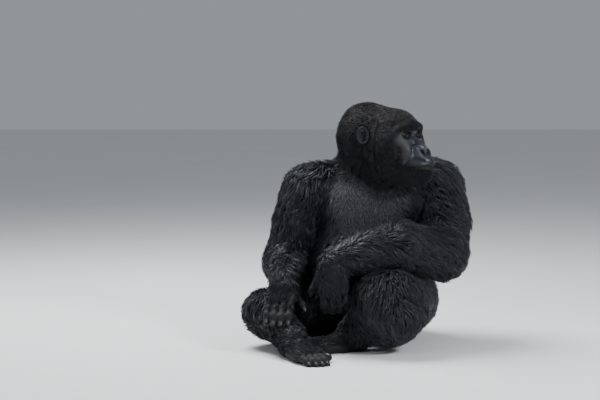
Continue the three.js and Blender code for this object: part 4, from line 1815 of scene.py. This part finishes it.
    def _piece(self, name: str, tufts: Tufts, rows: Array, short: bool) -> Thing:
        """Builds one piece of the coat: each tuft is a tapered three-sided blade, closed at the root.

        Args:
            name: The piece's name.
            tufts: All tufts.
            rows: Which of them.
            short: Whether the tufts have two rings instead of three.

        Returns:
            The piece with its colours and maps.
        """
        random = np.random.default_rng(SEED + len(rows))
        stops = np.array([0, 0.5, 1.0] if short else [0, 0.36, 0.7, 1.0], np.float32)
        girth = np.array([0.9, 0.8] if short else [0.75, 1.0, 0.66], np.float32)
        line, lock = self._gathered(tufts, rows, self._lines(tufts, rows, stops), stops, random)
        count, rings = len(rows), len(girth)
        along = unit(line[:, 1:] - line[:, :-1])
        tangent = np.concatenate([along[:, :1], unit(along[:, 1:] + along[:, :-1]), along[:, -1:]], 1)
        side = unit(np.cross(tangent, tufts.normals[rows][:, None, :]))
        phase = random.uniform(0, 2 * math.pi, lock.max() + 1)[lock] + random.normal(0, 0.5, count)
        sway = phase[:, None] + stops[None, :] * 4.2
        swing = np.sin(sway) * stops[None, :] * (tufts.wave[rows] * tufts.length[rows])[:, None]
        line = line + side * swing[:, :, None]
        line[..., 2] = np.maximum(line[..., 2], 1.0)
        up = np.cross(side, tangent)
        roll = random.normal(0, 0.35, count)[:, None, None]
        corners = []
        for turn in (0, 1, 2):
            angle = 2 * math.pi * turn / 3 + roll
            spoke = np.cos(angle) * side[:, :rings] + self.flatness * np.sin(angle) * up[:, :rings]
            corners.append(line[:, :rings] + spoke * (0.5 * tufts.width[rows][:, None] * girth)[:, :, None])
        points = np.concatenate([np.stack(corners, 2).reshape(count, rings * 3, 3), line[:, -1:]], 1)
        each = rings * 3 + 1
        triangles = []
        for ring in range(rings - 1):
            for turn in range(3):
                a, b = ring * 3 + turn, ring * 3 + (turn + 1) % 3
                triangles += [(a, b, b + 3), (a, b + 3, a + 3)]
        top = (rings - 1) * 3
        triangles += [(top + turn, top + (turn + 1) % 3, each - 1) for turn in range(3)] + [(2, 1, 0)]
        faces = (np.array(triangles)[None] + each * np.arange(count)[:, None, None]).reshape(-1, 3)
        piece = self.maker.mesh(name, points.reshape(-1, 3), faces)
        self._dress(piece, tufts, rows, lock, stops, rings, random)
        return piece

    def _dress(
        self,
        piece: Thing,
        tufts: Tufts,
        rows: Array,
        lock: Array,
        stops: Array,
        rings: int,
        random: np.random.Generator,
    ) -> None:
        """Colours the tufts from root to tip and maps them: one map along each strand, one on the body laid flat.

        Args:
            piece: The piece.
            tufts: All tufts.
            rows: Which of them the piece holds.
            lock: Each tuft's lock.
            stops: Shares of the length.
            rings: How many rings a tuft has.
            random: The generator in use.
        """
        count, each = len(rows), rings * 3 + 1
        by_lock, by_tuft = self.shade_spreads
        shade = random.lognormal(0, by_lock, lock.max() + 1)[lock] * random.lognormal(0, by_tuft, count)
        pale = random.uniform(0, 1, count) < self.pale_share
        shade = shade * np.where(pale, self.pale_gain, 1.0)
        shade = shade + 0.75 * tufts.even[rows] * (1 - shade)
        height = np.concatenate([np.repeat(stops[:rings], 3), [1.0]])
        fade = self.root_shade + height
        tint = tufts.tint[rows][:, None, :] * shade[:, None, None] * fade[None, :, None]
        Maker.paint(piece, "tint", tint.reshape(-1, 3))
        around = np.concatenate([np.tile([0.0, 0.33, 0.67], rings), [0.5]])
        strand = np.empty((count, each, 2), np.float32)
        strand[..., 0] = around[None] + random.uniform(0, 40, count)[:, None]
        strand[..., 1] = height[None] * (tufts.length[rows] / 18)[:, None] + random.uniform(0, 40, count)[:, None]
        home = Unwrap(self.body).places(tufts.roots[rows], tufts.region[rows])
        patch = home[:, None, :] + PATCH * (np.stack([around, height], 1)[None] - 0.5)
        Maker.map(piece, "OFBake", patch.reshape(-1, 2))
        Maker.map(piece, "Strand", strand.reshape(-1, 2))


@dataclass(frozen=True)
class Unwrap:
    """The body's surface laid flat: each region is rolled off round its own axis into its own cell of a square."""

    body: Body
    columns: int = 4

    def places(self, points: Array, label: Array) -> Array:
        """The place of each point: the angle round its region's axis and the share along it, inside the region's cell.

        Args:
            points: Points in the body's frame.
            label: Each point's region.

        Returns:
            One place per point, in 0 to 1.
        """
        body = self.body
        axes = {
            Region.TRUNK: ((0, 60, -20), (16, 30, 720)),
            Region.NECK: ((12, 24, 540), (6, -44, 800)),
            Region.HEAD: (body.head_pose.out(vec((0, 170, 20))), body.head_pose.out(vec((0, -250, -60)))),
            Region.ARM_RIGHT: (body.shoulder_right, body.elbow_right),
            Region.FOREARM_RIGHT: (body.elbow_right, body.wrist_right),
            Region.ARM_LEFT: (body.shoulder_left, body.elbow_left),
            Region.FOREARM_LEFT: (body.elbow_left, body.wrist_left),
            Region.THIGH_RIGHT: (body.hip_right, body.knee_right),
            Region.SHIN_RIGHT: (body.knee_right, body.ankle_right),
            Region.THIGH_LEFT: (body.hip_left, body.knee_left),
            Region.SHIN_LEFT: (body.knee_left, body.ankle_left),
        }
        for region, paw in body.paws.items():
            axes[region] = (paw.root, tuple(vec(paw.root) + 150 * unit(vec(paw.along))))
        places = np.zeros((len(points), 2), np.float32)
        for region, (start, end) in axes.items():
            chosen = label == region.value
            if not chosen.any():
                continue
            start, run = vec(start), vec(end) - vec(start)
            offset = points[chosen] - start
            share = np.clip(offset @ run / (run @ run), -0.6, 1.6)
            across = unit(np.cross(run, vec((0.31, 0.94, 0.11))))
            over = unit(np.cross(run, across))
            angle = np.arctan2(offset @ across, offset @ over) / (2 * math.pi) + 0.5
            column, row = region.value % self.columns, region.value // self.columns
            inside = np.stack([angle, (share + 0.6) / 2.2], 1) * 0.94 + 0.03
            places[chosen] = (inside + (column, row)) / self.columns
        return places


# ---- eyes and nails ----
def ring_faces(rings: int, around: int) -> Array:
    """The quads between neighbouring rings of points, each ring closed.

    Args:
        rings: How many rings.
        around: How many points are in each.

    Returns:
        Four corner numbers per face.
    """
    rows, columns = np.meshgrid(np.arange(rings - 1), np.arange(around), indexing="ij")
    first, second = rows * around + columns, rows * around + (columns + 1) % around
    return np.stack([first, first + around, second + around, second], -1).reshape(-1, 4)


def weld(thing: Thing, distance: float) -> None:
    """Merges the doubled points of closed poles, and turns all faces outwards.

    Args:
        thing: The object.
        distance: How near points have to be to merge, in metres.
    """
    made = bmesh.new()
    made.from_mesh(thing.data)
    bmesh.ops.remove_doubles(made, verts=made.verts, dist=distance)
    bmesh.ops.recalc_face_normals(made, faces=made.faces)
    made.to_mesh(thing.data)
    made.free()


@dataclass
class Eyes:
    """Two eyeballs with the bulge of the cornea in front."""

    body: Body
    maker: Maker
    bulge: float = 1.0
    bulge_angle: float = 0.42

    def build(self) -> Thing:
        """Both eyes: r(a) = R + b exp(-(a / w)^2) at the angle a from the gaze, turned round the gaze.

        Returns:
            The eyes.
        """
        angle = np.linspace(0, math.pi, 40)[:, None]
        turn = np.linspace(0, 2 * math.pi, 48, endpoint=False)[None, :]
        reach = self.body.head.eye_radius + self.bulge * np.exp(-((angle / self.bulge_angle) ** 2))
        ball = np.stack(
            [
                reach * np.sin(angle) * np.cos(turn),
                -reach * np.cos(angle) + 0 * turn,
                reach * np.sin(angle) * np.sin(turn),
            ],
            -1,
        )
        rings, around = ball.shape[:2]
        faces = ring_faces(rings, around)
        places = np.stack(
            [
                np.broadcast_to(turn / (2 * math.pi), (rings, around)),
                np.broadcast_to(angle / math.pi, (rings, around)),
            ],
            -1,
        )
        sides, all_faces = [], []
        for number, side in enumerate((1, -1)):
            centre = vec((side * self.body.head.eye[0], *self.body.head.eye[1:]))
            sides.append(self.body.head_pose.out(ball.reshape(-1, 3).astype(np.float32) + centre))
            all_faces.append(faces + number * rings * around)
        eyes = self.maker.mesh("eyes", np.concatenate(sides), np.concatenate(all_faces))
        Maker.map(eyes, "Iris", np.tile(places.reshape(-1, 2), (2, 1)))
        weld(eyes, 0.00001)
        eyes.data.materials.append(EyeFinish().make())
        return eyes


@dataclass
class Nails:
    """The nails of one paw: domed plates let into the backs of the last bones."""

    body: Body
    maker: Maker
    region: Region
    name: str
    size: Point = (7.0, 8.4, 2.4)
    power: float = 2.6
    bow: float = 0.36

    def build(self) -> Thing:
        """All five nails: over the plan |x|^p + |y|^p < 1 the top rises as (1 - r^4), bowed across by x^2.

        Returns:
            The nails.
        """
        paw = self.body.paws[self.region]
        pose = paw.pose()
        share = np.linspace(0, 1, 9)[:, None]
        turn = np.linspace(0, 2 * math.pi, 24, endpoint=False)[None, :]
        square = (np.abs(np.cos(turn)) ** self.power + np.abs(np.sin(turn)) ** self.power) ** (-1 / self.power)
        x, y = share * np.cos(turn) * square, share * np.sin(turn) * square
        plates = []
        for way in (1, -1):
            rise = way * 0.5 * self.size[2] * (1 - share**4) - self.bow * self.size[0] * x * x + 0 * turn
            plates.append(np.stack([x * self.size[0], y * self.size[1], rise], -1))
        rings, around = x.shape
        top = ring_faces(rings, around)
        plate_faces = np.concatenate([top, top[:, ::-1] + rings * around])
        plate = np.concatenate([part.reshape(-1, 3) for part in plates])
        map_one = np.concatenate([np.stack([x, y], -1).reshape(-1, 2)] * 2) * 0.5 + 0.5
        points, faces, places = [], [], []
        for number, (joints, radius) in enumerate(paw.digits()):
            tip = joints[-1]
            bone = unit(joints[-1] - joints[-2])
            across = unit(vec((0, 1, 0)) - bone * bone[1])
            up = np.cross(across, bone)
            up = up * (1 if up[2] > 0 or abs(up[2]) < 0.3 and up[0] > 0 else -1)
            size = radius / 14
            centre = tip + up * (radius * 0.78 - 0.6) - bone * 0.5
            frame = np.stack([across, bone, up], 1)
            points.append(pose.out((plate * size) @ frame.T + centre))
            faces.append(plate_faces + number * len(plate))
            places.append(map_one + number * 0.37)
        nails = self.maker.mesh(self.name, np.concatenate(points).astype(np.float32), np.concatenate(faces))
        Maker.map(nails, "Nail", np.concatenate(places))
        weld(nails, 0.00002)
        nails.data.materials.append(NailFinish().make())
        return nails


# ---- studio ----
@dataclass
class Studio:
    """A pale floor, soft lights, and the camera."""

    centre: Array
    lens: float = 100.0
    camera: Point = (-254.0, -6386.0, 1089.0)
    tilt: float = 5.0
    floor_reach: float = 18000
    floor_cells: int = 60

    def build(self) -> None:
        """Sets up the stage."""
        self._floor()
        self._lights()
        self._camera()

    def _floor(self) -> None:
        """The floor: a square grid with x and y = 18 m * s |s| for s from -1 to 1, finer near the middle."""
        cells, reach = self.floor_cells, self.floor_reach
        steps = np.linspace(-1, 1, cells + 1)
        steps = reach * steps * np.abs(steps)
        across, along = np.meshgrid(steps, steps)
        points = np.stack([across, along, 0 * across], -1).reshape(-1, 3)
        rows, columns = np.meshgrid(np.arange(cells), np.arange(cells), indexing="ij")
        first = (rows * (cells + 1) + columns).reshape(-1)
        faces = np.stack([first, first + 1, first + cells + 2, first + cells + 1], -1)
        floor = Maker(np.zeros(3, np.float32)).mesh("floor", points, faces)
        floor.data.materials.append(FloorFinish().make())

    def _lights(self) -> None:
        """A large soft light overhead, a weak one from the front left and a small one from the right."""
        for name, place, target, size, power in (
            ("key", (-1.3, 0.9, 3.2), (0.0, 0.0, 0.5), 2.0, 210.0),
            ("front", (-2.4, -4.0, 2.6), (0.0, -0.1, 0.5), 1.6, 40.0),
            ("right", (2.6, -2.6, 2.5), (0.1, 0.0, 0.6), 0.9, 145.0),
        ):
            data = bpy.data.lights.new(name, "AREA")
            data.shape, data.size, data.energy = "DISK", size, power
            data.color = (0.94, 0.97, 1.0)
            light = bpy.data.objects.new(name, data)
            light.location = place
            light.rotation_euler = (Vector(target) - Vector(place)).to_track_quat("-Z", "Y").to_euler()
            bpy.context.scene.collection.objects.link(light)
        world = bpy.data.worlds.new("studio")
        world.use_nodes = True
        world.node_tree.nodes["Background"].inputs["Color"].default_value = (0.86, 0.92, 1.0, 1.0)
        world.node_tree.nodes["Background"].inputs["Strength"].default_value = 0.35
        bpy.context.scene.world = world

    def _camera(self) -> None:
        """The camera looks along +Y from the front, tilted down a little."""
        data = bpy.data.cameras.new("view")
        data.lens, data.sensor_width = self.lens, 36.0
        camera = bpy.data.objects.new("view", data)
        camera.location = (vec(self.camera) + self.centre) * MILLIMETRE
        camera.rotation_euler = (math.radians(90 - self.tilt), 0, 0)
        bpy.context.scene.collection.objects.link(camera)
        bpy.context.scene.camera = camera


class Gorilla:
    """The whole animal: builds each sub-assembly, ties it to the frame and reports it."""

    flesh = (
        "head", "jaw", "neck", "chest", "belly", "ear_left", "ear_right",
        *(
            f"{part}_{side}"
            for part in ("upper_arm", "forearm", "thigh", "shin", "hand", "foot") for side in ("left", "right")
        ),
    )
    digits = ("little", "fourth", "middle", "second", "first")

    def __init__(self) -> None:
        """Finds the body's origin in the row's frame from the right eye's box."""
        self.body = Body()
        eye = vec((-self.body.head.eye[0], *self.body.head.eye[1:]))
        low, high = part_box("eye_right")
        self.origin = (vec(tuple(low)) + vec(tuple(high))) / (2 * MILLIMETRE) - self.body.head_pose.out(eye[None])[0]
        self.origin[2] = 0.0
        self.maker = Maker(self.origin.astype(np.float32))
        self.markings = Markings(self.body)

    def tie(self, piece: Thing, slot: str, *nodes: str) -> None:
        """Sets a piece on the frame and hides the CAD nodes that it stands for.

        Args:
            piece: The piece.
            slot: The name of its finish's slot; it is not used.
            *nodes: The CAD nodes that it replaces.
        """
        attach(piece, "root")
        if nodes:
            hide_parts(*nodes)
        piece.data.calc_loop_triangles()
        LOG.info("%s: %d triangles", piece.name, len(piece.data.loop_triangles))

    def build(self) -> None:
        """Builds skin, coat, eyes and nails in order."""
        skin = Skin(self.body, self.maker, self.markings).build()
        self.tie(skin, "skin", *self.flesh)
        for piece in Coat(self.body, self.maker, self.markings).build(skin):
            self.tie(piece, "chest_coat" if piece.name.startswith("coat_chest") else "coat")
        self.tie(Eyes(self.body, self.maker).build(), "eye", "eye_left", "eye_right")
        for region, name in (
            (Region.HAND_LEFT, "hand_left"),
            (Region.HAND_RIGHT, "hand_right"),
            (Region.FOOT_LEFT, "foot_left"),
            (Region.FOOT_RIGHT, "foot_right"),
        ):
            nails = Nails(self.body, self.maker, region, f"nails_{name}").build()
            self.tie(nails, "nail", *(f"nail_{name}_{digit}" for digit in self.digits))


def main() -> None:
    """Loads the frame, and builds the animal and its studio."""
    logging.basicConfig(level=logging.INFO, format="%(message)s")
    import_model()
    gorilla = Gorilla()
    gorilla.build()
    Studio(gorilla.origin).build()


if __name__ == "__main__":
    main()
